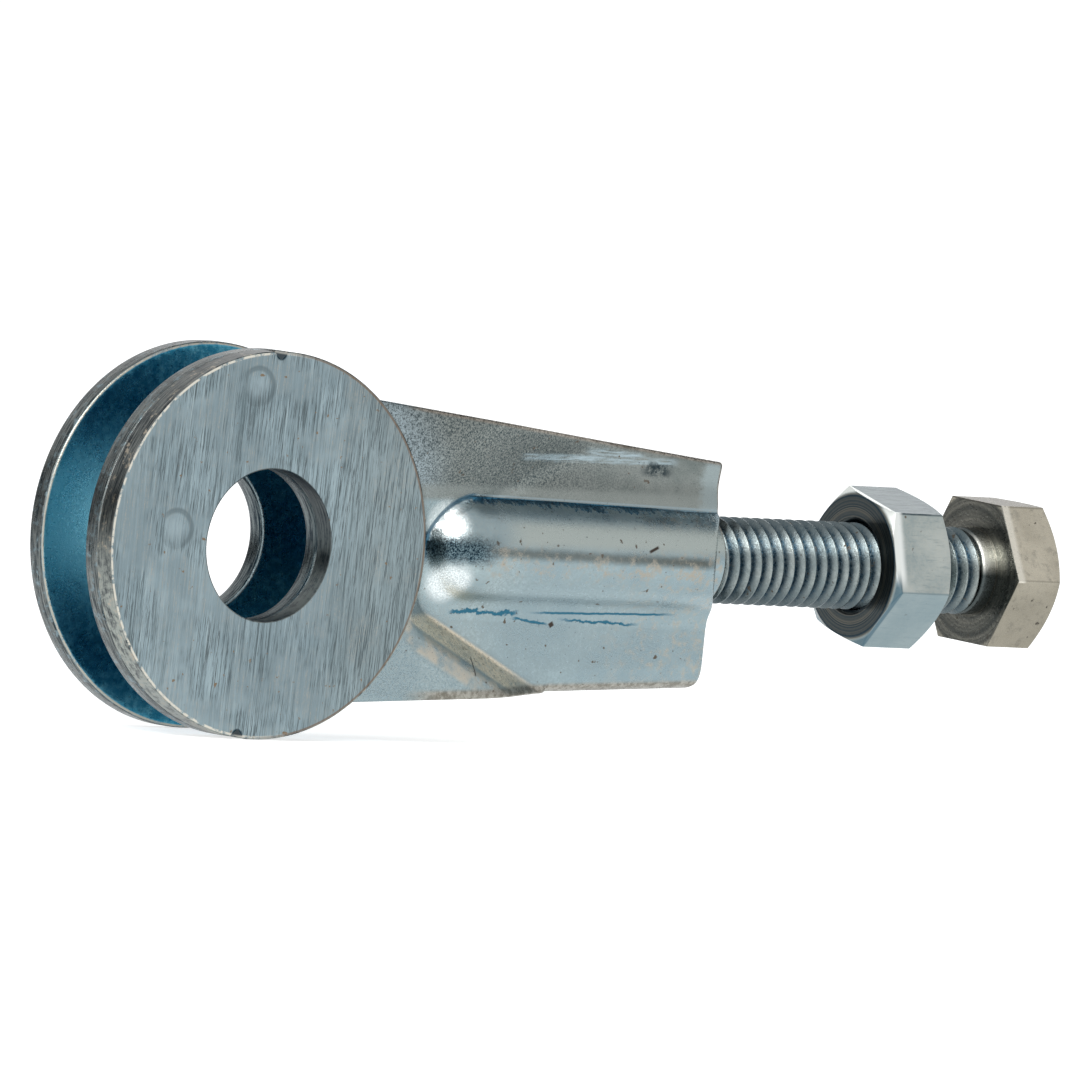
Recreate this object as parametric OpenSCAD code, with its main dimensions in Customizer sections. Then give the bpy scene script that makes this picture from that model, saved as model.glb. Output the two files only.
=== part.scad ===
// Chain adjuster for a small motorcycle: a folded and zinc plated sheet steel bracket that straddles
// the swingarm, an index washer welded to its front ear, and a screw with a lock nut.
// The origin is the centre of the axle bore, midway between the ears. X runs along the screw, away
// from the axle, Y along the bore, away from the index washer, and Z up.

/* [Ears] */
// Diameter of the round ears and of the index washer
ear_d = 35; // [32:0.5:42]
// Diameter of the axle bore
bore_d = 13.8; // [10:0.1:17]
// Clear width of the slot between the ears
ear_gap = 6.6; // [5:0.1:9]

/* [Sheet] */
// Thickness of the sheet
sheet_t = 2; // [1.5:0.1:2.5]
// Width of the seam between the two leaves
seam_w = 0.2; // [0.1:0.05:0.4]
// Radius of a bend, to the middle of the sheet
bend_r = 2; // [1.6:0.1:3]

/* [Arm] */
// Distance from the axle to the end of the arm
arm_end = 54.3; // [48:0.1:64]
// Distance from the axle to the line of the top edge
top_offset = 14.7; // [13:0.1:16]
// Taper of the top edge, in degrees
top_taper = 6; // [3:0.5:8]
// Distance from the axle to the line of the bottom edge
bottom_offset = 14.6; // [13:0.1:16]
// Taper of the bottom edge, in degrees
bottom_taper = 3; // [1:0.5:5]
// Radius of the neck between an ear and the arm
neck_r = 6; // [3:0.5:10]
// Distance from the axle to the start of the fold
fold_start = 36.5; // [35:0.5:42]

/* [Joggle] */
// Distance from the axle to where an ear starts to bend in
joggle_x = 16.5; // [15.5:0.1:17.5]
// Slope of the upright and the lower bend, in degrees
joggle_slope = 45; // [35:1:55]
// Slope of the upper bend, in degrees
top_slope = 24; // [20:1:40]
// Radius of the upper bend, to the middle of the sheet
top_bend_r = 6; // [3:0.5:8]
// Half height of the upright part of the bend
joggle_half_h = 8.2; // [6:0.1:10]
// Angle between the slanted parts of the bend and the screw
joggle_slant = 26; // [20:1:32]

/* [Bead] */
// Outer radius of the bead around the screw
bead_r = 5.2; // [5:0.05:6]
// Distance from the axle to the centre of the bead's domed end
dome_x = 26.2; // [25:0.1:30]
// Wall of the domed end
dome_wall = 1.8; // [1.2:0.1:2.2]
// How far the bead's crown is drawn back from the end of the arm
crown_setback = 2.3; // [0:0.1:3]

/* [Index washer] */
// Thickness of the index washer
washer_t = 2; // [1.5:0.1:3]
// Chamfer on the rim of the index washer
washer_chamfer = 0.3; // [0.1:0.05:0.5]
// Width of an index notch at the rim
notch_w = 1.7; // [1:0.1:3]
// Depth of an index notch
notch_depth = 0.8; // [0.4:0.1:1.5]
// Place of the upper index notch, in degrees from the screw
notch_top = 91; // [80:1:100]
// Place of the lower index notch, in degrees from the screw
notch_bottom = 264; // [255:1:280]

/* [Screw and nut] */
// Diameter of the screw's thread
screw_d = 8; // [6:0.1:8]
// Pitch of the thread
thread_pitch = 1.25; // [1:0.05:1.75]
// Depth of the thread
thread_depth = 0.75; // [0.4:0.05:0.9]
// Length of the screw under its head
screw_l = 40; // [30:0.5:50]
// Length of the screw that the bracket holds
held_l = 9.2; // [3:0.1:12]
// Length of the plain shank under the head
plain_l = 1.5; // [0.8:0.1:5]
// Height of the head
head_h = 5.3; // [4:0.1:6]
// Width across the flats of the head and of the nut
across_flats = 13; // [12:0.5:14]
// Turn of the head about the screw, in degrees
head_turn = 36; // [0:1:59]
// Distance between the head and the lock nut
nut_to_head = 7.2; // [1:0.1:12]
// Height of the lock nut
nut_h = 6.5; // [4:0.1:7]
// Turn of the lock nut about the screw, in degrees
nut_turn = 50.2; // [0:0.2:59]
// Slope of the chamfers on the head and the nut, in degrees
hex_chamfer = 30; // [20:1:35]
// Depth of the countersinks in the nut's hole
countersink = 0.4; // [0.2:0.05:0.8]
// Radial clearance between the screw and the holes that it runs in
thread_fit = 0.05; // [0.02:0.01:0.1]

/* [Hidden] */

$fn = 96;
// Steps along a bend, and a margin for cuts that run past a face
bend_steps = 5;
margin = 3;
// How much thinner the sheet is where a bend has drawn it
thinning = 0.02;

ear_r = ear_d / 2;
bore_r = bore_d / 2;
screw_r = screw_d / 2;
ear_in = ear_gap / 2;
ear_out = ear_in + sheet_t;
leaf_in = seam_w / 2;
leaf_out = leaf_in + sheet_t;
far = ear_r + margin;

// The screw's tip, the underside of its head and the lock nut, as distances from the axle
tip_x = arm_end - held_l;
head_x = tip_x + screw_l;
nut_x = head_x - nut_to_head - nut_h;
hole_r = screw_r + thread_fit;

// The thread's root, and the widths of its crest and of one flank
root_r = screw_r - thread_depth;
thread_crest = thread_pitch / 8;
thread_flank = (thread_pitch - 2 * thread_crest) / 2;

// Middle of the sheet at an ear and at a leaf of the arm, and the outer radius of the fold
ear_mid = ear_in + sheet_t / 2;
leaf_mid = leaf_in + sheet_t / 2;
fold_r = leaf_out - thinning;

// Heights of the arm's edges at a distance x from the axle
function top_z(x) = top_offset / cos(top_taper) - x * tan(top_taper);
function bottom_z(x) = x * tan(bottom_taper) - bottom_offset / cos(bottom_taper);
function fold_axis_z(x) = bottom_z(x) + fold_r / cos(bottom_taper);

// Length of a bend from the ear to the leaf, for its radius and slope
function joggle_run(r, slope) =
    let (ramp_drop = ear_mid - leaf_mid - 2 * r * (1 - cos(slope)))
    2 * r * sin(slope) + ramp_drop / tan(slope);

// One face of the sheet through a bend, as distance along it and depth from the middle plane;
// side is +1 for the outer face and -1 for the inner face
function joggle_face(side, r, slope) =
    let (run = joggle_run(r, slope))
    let (first_r = r + side * sheet_t / 2)
    let (second_r = r - side * sheet_t / 2)
    concat(
        [for (i = [0 : bend_steps])
            let (a = slope * i / bend_steps)
            [first_r * sin(a), ear_mid - r + first_r * cos(a)]],
        [for (i = [bend_steps : -1 : 0])
            let (a = slope * i / bend_steps)
            [run - second_r * sin(a), leaf_mid - thinning + r - second_r * cos(a)]]
    );

// The space between both faces of one side, as a closed outline seen along the bend
function joggle_outline(side, r, slope) =
    let (face = joggle_face(side, r, slope))
    let (last = len(face) - 1)
    concat(
        [[-far - joggle_x, -face[0][1]]],
        [for (i = [0 : last]) [face[i][0], -face[i][1]]],
        [for (i = [last : -1 : 0]) face[i]],
        [[-far - joggle_x, face[0][1]]]
    );

// Lays a shape drawn in X and Z down as a plate of thickness t on the middle plane
module plate(t) {
    rotate([90, 0, 0])
        linear_extrude(height = t, center = true)
            children();
}

// The space within one side's faces, behind a bend that runs at an angle to the upright
module bend_prism(side, turn, r, slope) {
    rotate([0, turn, 0])
        linear_extrude(height = 4 * far, center = true)
            polygon(joggle_outline(side, r, slope));
}

// Everything within the outer (+1) or inner (-1) faces of the ears and of their bends
module ear_space(side) {
    slant = 90 - joggle_slant;
    translate([joggle_x, 0, 0])
        bend_prism(side, 0, bend_r, joggle_slope);
    translate([joggle_x, 0, -joggle_half_h])
        bend_prism(side, -slant, bend_r, joggle_slope);
    translate([joggle_x, 0, joggle_half_h])
        bend_prism(side, slant, top_bend_r, top_slope);
}

// Fills the neck between the ear and a straight edge at a distance from the axle, tapering at an angle
module neck(edge_offset, taper) {
    centre_r = ear_r + neck_r;
    along = sqrt(pow(centre_r, 2) - pow(edge_offset + neck_r, 2));
    centre = [along, edge_offset + neck_r];
    rotate(-taper)
        difference() {
            polygon([[0, 0], centre * ear_r / centre_r, [along, edge_offset]]);
            translate(centre) circle(r = neck_r);
        }
}

// One leaf of the blank, laid flat: the ear, the necks and the tapering arm down to the fold
module leaf_outline() {
    circle(r = ear_r);
    neck(top_offset, top_taper);
    mirror([0, 1]) neck(bottom_offset, bottom_taper);
    polygon([
        [0, bottom_z(0)],
        [fold_start, bottom_z(fold_start)],
        [fold_start, fold_axis_z(fold_start)],
        [arm_end, fold_axis_z(arm_end)],
        [arm_end, top_z(arm_end)],
        [0, top_z(0)]
    ]);
}

// The round of the fold along the bottom edge
module fold_round() {
    intersection() {
        translate([fold_start, 0, fold_axis_z(fold_start)])
            rotate([0, 90 - bottom_taper, 0])
                translate([0, 0, -margin])
                    cylinder(r = fold_r, h = arm_end - fold_start + 2 * margin);
        translate([fold_start, -2 * leaf_out, -far])
            cube([arm_end - fold_start, 4 * leaf_out, 2 * far]);
    }
}

// The bead with its domed end; its crown is drawn back from the end of the arm
module bead() {
    intersection() {
        union() {
            translate([dome_x, 0, 0]) rotate([0, 90, 0]) cylinder(r = bead_r, h = arm_end - dome_x + margin);
            translate([dome_x, 0, 0]) sphere(r = bead_r);
        }
        linear_extrude(height = 4 * bead_r, center = true)
            polygon([
                [0, -bead_r],
                [arm_end - crown_setback, -bead_r],
                [arm_end, -leaf_out],
                [arm_end, leaf_out],
                [arm_end - crown_setback, bead_r],
                [0, bead_r]
            ]);
    }
}

// The seam between the leaves; it is open below as far as the start of the fold
module seam() {
    past = arm_end + margin;
    plate(seam_w)
        polygon([
            [joggle_x, -far],
            [fold_start, -far],
            [fold_start, bottom_z(fold_start) + sheet_t],
            [past, bottom_z(past) + sheet_t],
            [past, far],
            [joggle_x, far]
        ]);
}

// The way for the screw: a plain hole at the thread's outer diameter, closed by the dome
module screw_way() {
    translate([dome_x, 0, 0]) {
        rotate([0, 90, 0]) cylinder(r = hole_r, h = arm_end - dome_x + margin);
        sphere(r = bead_r - dome_wall);
    }
}

// One ridge of the thread, as distance from the axis and distance along it
function thread_ridge(start) = [
    [root_r, start],
    [screw_r, start + thread_flank],
    [screw_r, start + thread_flank + thread_crest],
    [root_r, start + 2 * thread_flank + thread_crest]
];

// The shank along X from x = 0, with a plain stretch at its end; each turn of the thread is a ring
module threaded_shank(l, into_head) {
    thread_l = l - plain_l;
    ridges = floor(thread_l / thread_pitch);
    rotate([0, 90, 0])
        rotate_extrude()
            polygon(concat(
                [[0, 0]],
                [for (i = [0 : ridges - 1]) each thread_ridge(i * thread_pitch)],
                [
                    [root_r, thread_l],
                    [screw_r, thread_l + thread_flank],
                    [screw_r, l + into_head],
                    [0, l + into_head]
                ]
            ));
}

// A hexagon with chamfered corners, standing along X from x = 0; both_ends chamfers its near face too
module chamfered_hex(h, turn, both_ends) {
    corner_r = across_flats / 2 / cos(30);
    drop = (corner_r - across_flats / 2) * tan(hex_chamfer);
    near_drop = both_ends ? drop : 0;
    near_r = both_ends ? across_flats / 2 : corner_r;
    rotate([turn, 0, 0])
        rotate([0, 90, 0])
            intersection() {
                cylinder(r = corner_r, h = h, $fn = 6);
                rotate_extrude()
                    polygon([
                        [0, 0],
                        [near_r, 0],
                        [corner_r, near_drop],
                        [corner_r, h - drop],
                        [across_flats / 2, h],
                        [0, h]
                    ]);
            }
}

module folded_bracket() {
    color("lightsteelblue")
        difference() {
            union() {
                intersection() {
                    plate(2 * ear_out) leaf_outline();
                    union() {
                        ear_space(1);
                        translate([joggle_x, -leaf_out, -far])
                            cube([arm_end - joggle_x + margin, 2 * leaf_out, 2 * far]);
                    }
                }
                fold_round();
                bead();
            }
            ear_space(-1);
            seam();
            screw_way();
            rotate([90, 0, 0]) cylinder(r = bore_r, h = 4 * ear_out, center = true);
        }
}

module index_washer() {
    color("gainsboro")
        difference() {
            translate([0, -ear_out, 0])
                rotate([90, 0, 0])
                    rotate_extrude()
                        polygon([
                            [bore_r, 0],
                            [ear_r, 0],
                            [ear_r, washer_t - washer_chamfer],
                            [ear_r - washer_chamfer, washer_t],
                            [bore_r, washer_t]
                        ]);
            for (place = [notch_top, notch_bottom])
                rotate([0, -place, 0])
                    translate([0, -ear_out - washer_t / 2, 0])
                        plate(washer_t + margin)
                            polygon([
                                [ear_r - notch_depth, 0],
                                [ear_r + notch_depth, -notch_w],
                                [ear_r + notch_depth, notch_w]
                            ]);
        }
}

module adjuster_screw() {
    color("tan")
        union() {
            translate([head_x, 0, 0]) chamfered_hex(head_h, head_turn, false);
            translate([tip_x, 0, 0]) threaded_shank(screw_l, head_h / 2);
        }
}

module lock_nut() {
    mouth_r = hole_r + countersink + margin;
    color("lightblue")
        translate([nut_x, 0, 0])
            difference() {
                chamfered_hex(nut_h, nut_turn, true);
                rotate([0, 90, 0])
                    rotate_extrude()
                        polygon([
                            [0, -margin],
                            [mouth_r, -margin],
                            [hole_r, countersink],
                            [hole_r, nut_h - countersink],
                            [mouth_r, nut_h + margin],
                            [0, nut_h + margin]
                        ]);
            }
}

folded_bracket();
index_washer();
adjuster_screw();
lock_nut();
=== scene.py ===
# %% [markdown]
# A chain adjuster, dressed for its picture.
# The adjuster sets the tension of a small motorcycle's chain. A folded steel bracket holds the rear
# axle in its round ears, a ground index washer is welded on the front ear, and a screw with a lock
# nut runs in the bracket's bead. The solids are already built to size, so this script gives them what
# a solid lacks: rolled edges, drawn metal, a cut thread, plating, the marks of tools and some painted
# light and shade.
# We load the solids first, and keep their box, because nothing that we add may outgrow it.

# %% Load the solids
from contextlib import contextmanager
import math

import bmesh
import bpy
import numpy as np
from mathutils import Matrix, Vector


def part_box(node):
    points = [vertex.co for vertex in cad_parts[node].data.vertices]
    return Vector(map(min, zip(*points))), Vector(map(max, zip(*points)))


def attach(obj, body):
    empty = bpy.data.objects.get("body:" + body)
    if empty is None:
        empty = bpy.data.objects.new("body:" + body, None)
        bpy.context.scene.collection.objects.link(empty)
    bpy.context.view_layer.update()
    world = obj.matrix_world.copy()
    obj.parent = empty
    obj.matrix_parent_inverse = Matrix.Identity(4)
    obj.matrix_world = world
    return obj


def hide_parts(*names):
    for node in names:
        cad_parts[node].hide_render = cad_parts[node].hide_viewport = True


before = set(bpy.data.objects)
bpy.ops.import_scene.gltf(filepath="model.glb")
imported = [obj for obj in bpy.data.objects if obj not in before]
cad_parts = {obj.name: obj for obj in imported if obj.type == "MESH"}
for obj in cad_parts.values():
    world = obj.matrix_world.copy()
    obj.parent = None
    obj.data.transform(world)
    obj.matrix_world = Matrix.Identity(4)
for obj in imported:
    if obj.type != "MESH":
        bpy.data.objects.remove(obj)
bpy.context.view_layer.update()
MM = 0.001
print("solids:", sorted(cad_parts))

# %% [markdown]
# Sizes come from the solids themselves. The boxes of the nodes give the ear, the arm's end, the
# washer and the nut. The few sizes that a box can't give, such as the sheet's thickness and the
# bend's radius, are written here once, in millimetres, and everything after this uses them.

# %% Sizes in millimetres
def box_mm(node):
    """Lowest and highest corner of a solid, in millimetres."""
    low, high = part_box(node)
    return low / MM, high / MM


bracket_high = box_mm("folded_bracket")[1]
washer_low, washer_high = box_mm("index_washer")
screw_low, screw_high = box_mm("adjuster_screw")
nut_low, nut_high = box_mm("lock_nut")

ear_r = bracket_high.z
ear_out = bracket_high.y
sheet_t = 2.0
ear_in = ear_out - sheet_t
seam_half = 0.1
leaf_out = seam_half + sheet_t
arm_end = bracket_high.x
bore_r = 6.9
washer_t = washer_high.y - washer_low.y
screw_r = 4.0
thread_pitch = 1.25
across_flats = 13.0
nut_h = nut_high.x - nut_low.x
head_h = 5.3
head_x = screw_high.x - head_h
print(f"ear radius {ear_r:.2f}, arm end {arm_end:.2f}, washer {washer_t:.2f}, head at {head_x:.2f}")

# %% [markdown]
# Some small helpers save us from repeating the same clicks. An operator acts on everything that is
# selected, so we always start from an empty selection. In edit mode we pick faces or edges by a test
# on their place, which does what a hand would do with the mouse.

# %% Helpers for modelling
def start_clean():
    """Leaves edit mode and selects nothing."""
    if bpy.context.object is not None and bpy.context.object.mode != "OBJECT":
        bpy.ops.object.mode_set(mode="OBJECT")
    bpy.ops.object.select_all(action="DESELECT")


def make_active(obj):
    """Selects only this object, and makes it the one that operators act on."""
    start_clean()
    obj.select_set(True)
    bpy.context.view_layer.objects.active = obj


@contextmanager
def editing(obj):
    """Opens an object in edit mode, and closes it when the indented lines are done."""
    make_active(obj)
    bpy.ops.object.mode_set(mode="EDIT")
    yield
    bpy.ops.object.mode_set(mode="OBJECT")


def add_object(name, data):
    """Puts a mesh, lamp or camera into the scene."""
    obj = bpy.data.objects.new(name, data)
    bpy.context.scene.collection.objects.link(obj)
    return obj


def name_new(name):
    """Names the object that was just added."""
    obj = bpy.context.object
    obj.name = name
    obj.data.name = name
    return obj


def bake_place(obj):
    """Puts the object's place and turn into its mesh, so that the object sits at the origin."""
    make_active(obj)
    bpy.ops.object.transform_apply(location=True, rotation=True, scale=True)


def pick(obj, kind, test):
    """In edit mode, selects the verts, edges or faces that pass the test, and nothing else."""
    bpy.ops.mesh.select_mode(type={"verts": "VERT", "edges": "EDGE", "faces": "FACE"}[kind])
    bpy.ops.mesh.select_all(action="DESELECT")
    mesh = bmesh.from_edit_mesh(obj.data)
    chosen = [element for element in getattr(mesh, kind) if test(element)]
    for element in chosen:
        element.select_set(True)
    bmesh.update_edit_mesh(obj.data)
    return len(chosen)


def spread_out(obj, way, reach, share):
    """In edit mode, pulls the end face out along X and narrows or widens its end by a share."""
    pick(obj, "faces", lambda face: face.normal.x * way > 0.9)
    bpy.ops.mesh.extrude_region_move(TRANSFORM_OT_translate={"value": (way * reach * MM, 0, 0)})
    bpy.ops.transform.resize(value=(1, share, share))


print("ready to select and to edit")

# %% [markdown]
# Modifiers do the larger work, and we apply each one at once, so that the next step meets a plain
# mesh. Boolean leaves doubled points and slivers behind, which show as dark cracks, so every cut is
# followed by a clean-up. The report counts open edges, because a closed mesh has none.

# %% Helpers for modifiers, cuts and checks
def use_modifier(obj, kind, **settings):
    """Adds a modifier, sets it and applies it."""
    make_active(obj)
    modifier = obj.modifiers.new(kind.lower(), kind)
    for key, value in settings.items():
        setattr(modifier, key, value)
    bpy.ops.object.modifier_apply(modifier=modifier.name)


def cut_with(obj, tool, operation="DIFFERENCE"):
    """Cuts, joins or meets an object with a tool body, and throws the tool away."""
    use_modifier(obj, "BOOLEAN", object=tool, operation=operation, solver="EXACT")
    bpy.data.objects.remove(tool)


def tidy_mesh(obj):
    """Merges doubles, drops faces with no area and points all faces outwards."""
    with editing(obj):
        bpy.ops.mesh.select_all(action="SELECT")
        bpy.ops.mesh.remove_doubles(threshold=0.002 * MM)
        bpy.ops.mesh.dissolve_degenerate(threshold=0.001 * MM)
        bpy.ops.mesh.normals_make_consistent(inside=False)


def report(obj):
    """Prints how big a mesh is and whether it is closed."""
    mesh = bmesh.new()
    mesh.from_mesh(obj.data)
    open_edges = sum(1 for edge in mesh.edges if len(edge.link_faces) != 2)
    triangles = sum(len(face.verts) - 2 for face in mesh.faces)
    volume = mesh.calc_volume() / MM**3
    mesh.free()
    print(f"{obj.name}: {triangles} triangles, {open_edges} open edges, {volume:.0f} mm3")


print("ready to cut, to clean up and to report")

# %% [markdown]
# The camera and the light come before the pieces, so that each piece can be judged as soon as it is
# there. The photograph was taken with a long lens from the front left, almost level, and it leans a
# little, so the camera is rolled. The lens is so long that the two ears look equally large.

# %% Camera
azimuth = -36.83
elevation = 3.0
roll = 4.78
focal_px = 30000.0
image_px = 1080.0
distance = 2699.8
axle_px = (221.17, 538.12)


def towards(azimuth_deg, elevation_deg):
    """The direction from the adjuster to a place; azimuth 0 is the front."""
    a, e = math.radians(azimuth_deg), math.radians(elevation_deg)
    return Vector((math.sin(a) * math.cos(e), -math.cos(a) * math.cos(e), math.sin(e)))


def camera_axes():
    """Right, up and backward directions of the rolled camera."""
    a, r = math.radians(azimuth), math.radians(roll)
    back = towards(azimuth, elevation)
    level = Vector((math.cos(a), math.sin(a), 0.0))
    upright = back.cross(level)
    right = math.cos(r) * level + math.sin(r) * upright
    up = -math.sin(r) * level + math.cos(r) * upright
    return right, up, back


def add_camera():
    """The photograph's camera, moved sideways so that the axle lands on its place in the picture."""
    right, up, back = camera_axes()
    data = bpy.data.cameras.new("photo_camera")
    camera = add_object("photo_camera", data)
    scale = distance / focal_px
    shift_right = (image_px / 2 - axle_px[0]) * scale
    shift_up = (axle_px[1] - image_px / 2) * scale
    place = back * distance + right * shift_right + up * shift_up
    camera.location = place * MM
    turn = camera.matrix_world.to_3x3()
    for row in range(3):
        turn[row][0], turn[row][1], turn[row][2] = right[row], up[row], back[row]
    camera.rotation_mode = "QUATERNION"
    camera.rotation_quaternion = turn.to_quaternion()
    data.sensor_width = 36.0
    data.lens = data.sensor_width * focal_px / image_px
    data.clip_start = 0.1
    data.clip_end = 50.0
    bpy.context.scene.camera = camera
    return camera


camera = add_camera()
bpy.context.scene.view_settings.view_transform = "Standard"
print(f"lens {camera.data.lens:.0f} mm, {distance / 1000:.2f} m away")

# %% [markdown]
# Bare metal shows what is around it more than its own colour. So the adjuster stands in a white
# room on a pale floor, and soft lamps draw the highlights. The floor glows white for the camera and
# for reflections, so that it has no edge against the room, and it still keeps the shadow.

# %% Floor
floor_z = -(ear_r + 0.05) * MM


def white_glow(tree):
    """1 for rays that come from the camera, from a reflection or through glass, otherwise 0."""
    path = tree.nodes.new("ShaderNodeLightPath")
    total = path.outputs["Is Camera Ray"]
    for name in ("Is Glossy Ray", "Is Transmission Ray"):
        both = tree.nodes.new("ShaderNodeMath")
        both.operation = "MAXIMUM"
        tree.links.new(total, both.inputs[0])
        tree.links.new(path.outputs[name], both.inputs[1])
        total = both.outputs[0]
    return total


def dull_material(name, colour, roughness):
    """A material with no gloss, and its shader."""
    material = bpy.data.materials.new(name)
    material.use_nodes = True
    shader = material.node_tree.nodes["Principled BSDF"]
    shader.inputs["Base Color"].default_value = (*colour, 1)
    shader.inputs["Roughness"].default_value = roughness
    shader.inputs["Specular IOR Level"].default_value = 0
    return material, shader


def floor_material():
    """A pale material that glows where white_glow says so."""
    material, shader = dull_material("studio_floor", (0.8, 0.8, 0.8), 0.9)
    tree = material.node_tree
    shader.inputs["Emission Color"].default_value = (1, 1, 1, 1)
    glow = tree.nodes.new("ShaderNodeMath")
    glow.operation = "MULTIPLY"
    glow.inputs[1].default_value = 0.7
    tree.links.new(white_glow(tree), glow.inputs[0])
    tree.links.new(glow.outputs[0], shader.inputs["Emission Strength"])
    return material


def add_floor():
    """A floor just below the ears, far wider than the picture."""
    start_clean()
    bpy.ops.mesh.primitive_plane_add(size=12, location=(0, 0, floor_z))
    floor = name_new("floor")
    bake_place(floor)
    floor.data.materials.append(floor_material())


add_floor()
print("floor at", round(floor_z / MM, 2), "mm")

# %% [markdown]
# The room is the world's background. The camera and reflections see it white. For all other light it
# is a dim grey, so the lamps decide where the light comes from.

# %% Room
def set_room():
    """The world: white where white_glow says so, and dim grey for all other light."""
    world = bpy.data.worlds.new("room")
    bpy.context.scene.world = world
    world.use_nodes = True
    tree = world.node_tree
    shade = tree.nodes["Background"]
    shade.inputs["Color"].default_value = (0.42, 0.44, 0.45, 1)
    white = tree.nodes.new("ShaderNodeBackground")
    white.inputs["Color"].default_value = (1, 1, 1, 1)
    mix = tree.nodes.new("ShaderNodeMixShader")
    tree.links.new(white_glow(tree), mix.inputs[0])
    tree.links.new(shade.outputs[0], mix.inputs[1])
    tree.links.new(white.outputs[0], mix.inputs[2])
    tree.links.new(mix.outputs[0], tree.nodes["World Output"].inputs["Surface"])


set_room()
print("room:", bpy.context.scene.world.name)

# %% [markdown]
# Three area lamps stand where the photograph's highlights ask for them: a large one at the front
# left, a weak one behind, and a small one for the ears' rims. A metal part in an all white room
# looks like paper, though. Photographers hang dark cards, called flags, where they want a surface to
# turn dark, and we do the same, with one card overhead and one at the back left that only
# reflections see. Each lamp and flag is placed by its direction from the adjuster, which is easier
# to judge than three coordinates.

# %% Lamps and flags
adjuster_middle = Vector((0.035, 0, 0))


def add_lamp(name, azimuth_deg, elevation_deg, reach, size, power):
    """A soft lamp that looks at the adjuster."""
    way = towards(azimuth_deg, elevation_deg)
    data = bpy.data.lights.new(name, "AREA")
    data.shape = "RECTANGLE"
    data.size, data.size_y = size
    data.energy = power
    lamp = add_object(name, data)
    lamp.location = adjuster_middle + way * reach
    lamp.rotation_mode = "QUATERNION"
    lamp.rotation_quaternion = (-way).to_track_quat("-Z", "Y")


def add_flag(name, azimuth_deg, elevation_deg, reach, size, colour):
    """A dark card that faces the adjuster and shows in reflections only."""
    way = towards(azimuth_deg, elevation_deg)
    start_clean()
    bpy.ops.mesh.primitive_plane_add(size=1)
    flag = name_new(name)
    flag.scale = (*size, 1)
    flag.location = adjuster_middle + way * reach
    flag.rotation_mode = "QUATERNION"
    flag.rotation_quaternion = way.to_track_quat("Z", "Y")
    bake_place(flag)
    flag.data.materials.append(dull_material(name, colour, 1)[0])
    flag.visible_camera = flag.visible_diffuse = flag.visible_shadow = False


add_lamp("front_left_softbox", -48, 39, 1.1, (0.75, 0.45), 7.5)
add_lamp("back_right_softbox", 132, 36, 1.0, (0.5, 0.4), 1.2)
add_lamp("left_softbox", -98, 16, 1.1, (0.35, 0.35), 1.5)
add_flag("overhead_flag", 110, 52, 0.5, (0.5, 0.3), (0.05, 0.1, 0.13))
add_flag("back_left_flag", 217, -2, 0.5, (0.5, 0.34), (0.03, 0.04, 0.045))
print("3 lamps and 2 flags")

# %% [markdown]
# The bracket is one blank of 2 mm sheet. Its two leaves lie together in the arm, part at a joggle and
# end as the round ears. We first need its outline, seen from the side: most of a circle, two hollow
# necks, two straight edges that taper, and the end. Only the corners and the arcs are worked out, from
# the same offsets and tapers as the solid.

# %% The leaf's outline
top_offset, top_taper = 14.7, 6.0
bottom_offset, bottom_taper = 14.6, 3.0
neck_r = 6.0
arc_step = 2.5


def turned(point, degrees):
    """A point of the side view, turned about the axle."""
    c, s = math.cos(math.radians(degrees)), math.sin(math.radians(degrees))
    return (c * point[0] - s * point[1], s * point[0] + c * point[1])


def top_z(x):
    """Height of the straight top edge."""
    return top_offset / math.cos(math.radians(top_taper)) - x * math.tan(math.radians(top_taper))


def bottom_z(x):
    """Height of the straight bottom edge, below the axle."""
    tilt = math.radians(bottom_taper)
    return x * math.tan(tilt) - bottom_offset / math.cos(tilt)


def arc(centre, radius, start, end):
    """Points on an arc from one angle to another, in degrees."""
    steps = max(2, round(abs(end - start) / arc_step))
    angles = [math.radians(start + (end - start) * i / steps) for i in range(steps + 1)]
    return [(centre[0] + radius * math.cos(a), centre[1] + radius * math.sin(a)) for a in angles]


def neck(offset, taper):
    """The hollow between the ear and a straight edge: its arc, and the angle where it leaves the ear."""
    along = math.sqrt((ear_r + neck_r) ** 2 - (offset + neck_r) ** 2)
    centre = (along, offset + neck_r)
    lean = math.degrees(math.atan2(centre[1], centre[0]))
    points = arc(centre, neck_r, 180 + lean, 270)
    return [turned(point, -taper) for point in points], lean - taper


def corner(x, z, radius, start):
    """A round corner of 90 degrees whose square corner would be at (x, z)."""
    sign_z = 1 if start == 0 else -1
    centre = (x - radius, z - sign_z * radius)
    return arc(centre, radius, start, start + 90)


def leaf_outline():
    """The points of a leaf's outline, round the ear and back along the arm."""
    upper, upper_angle = neck(top_offset, top_taper)
    lower, lower_angle = neck(bottom_offset, bottom_taper)
    lower = [(x, -z) for x, z in lower]
    ear = arc((0, 0), ear_r, upper_angle, 360 - lower_angle)
    right_low = corner(arm_end - 0.5, bottom_z(arm_end), 0.7, -90)
    right_high = corner(arm_end, top_z(arm_end), 0.4, 0)
    return upper[::-1] + ear[1:-1] + lower + right_low + right_high


outline = leaf_outline()
print(f"outline of {len(outline)} points")

# %% [markdown]
# Next comes the shape across the sheet: how deep the outer and the inner face lie at each place. In
# the ears that is constant. At the joggle each face follows two arcs and a slope. There are three bend
# lines: an upright one and a lower slanted one with tight bends, and a gentle upper one. A formula for
# the depth keeps the sheet's thickness true through every bend, which is hard to do by hand.

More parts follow.
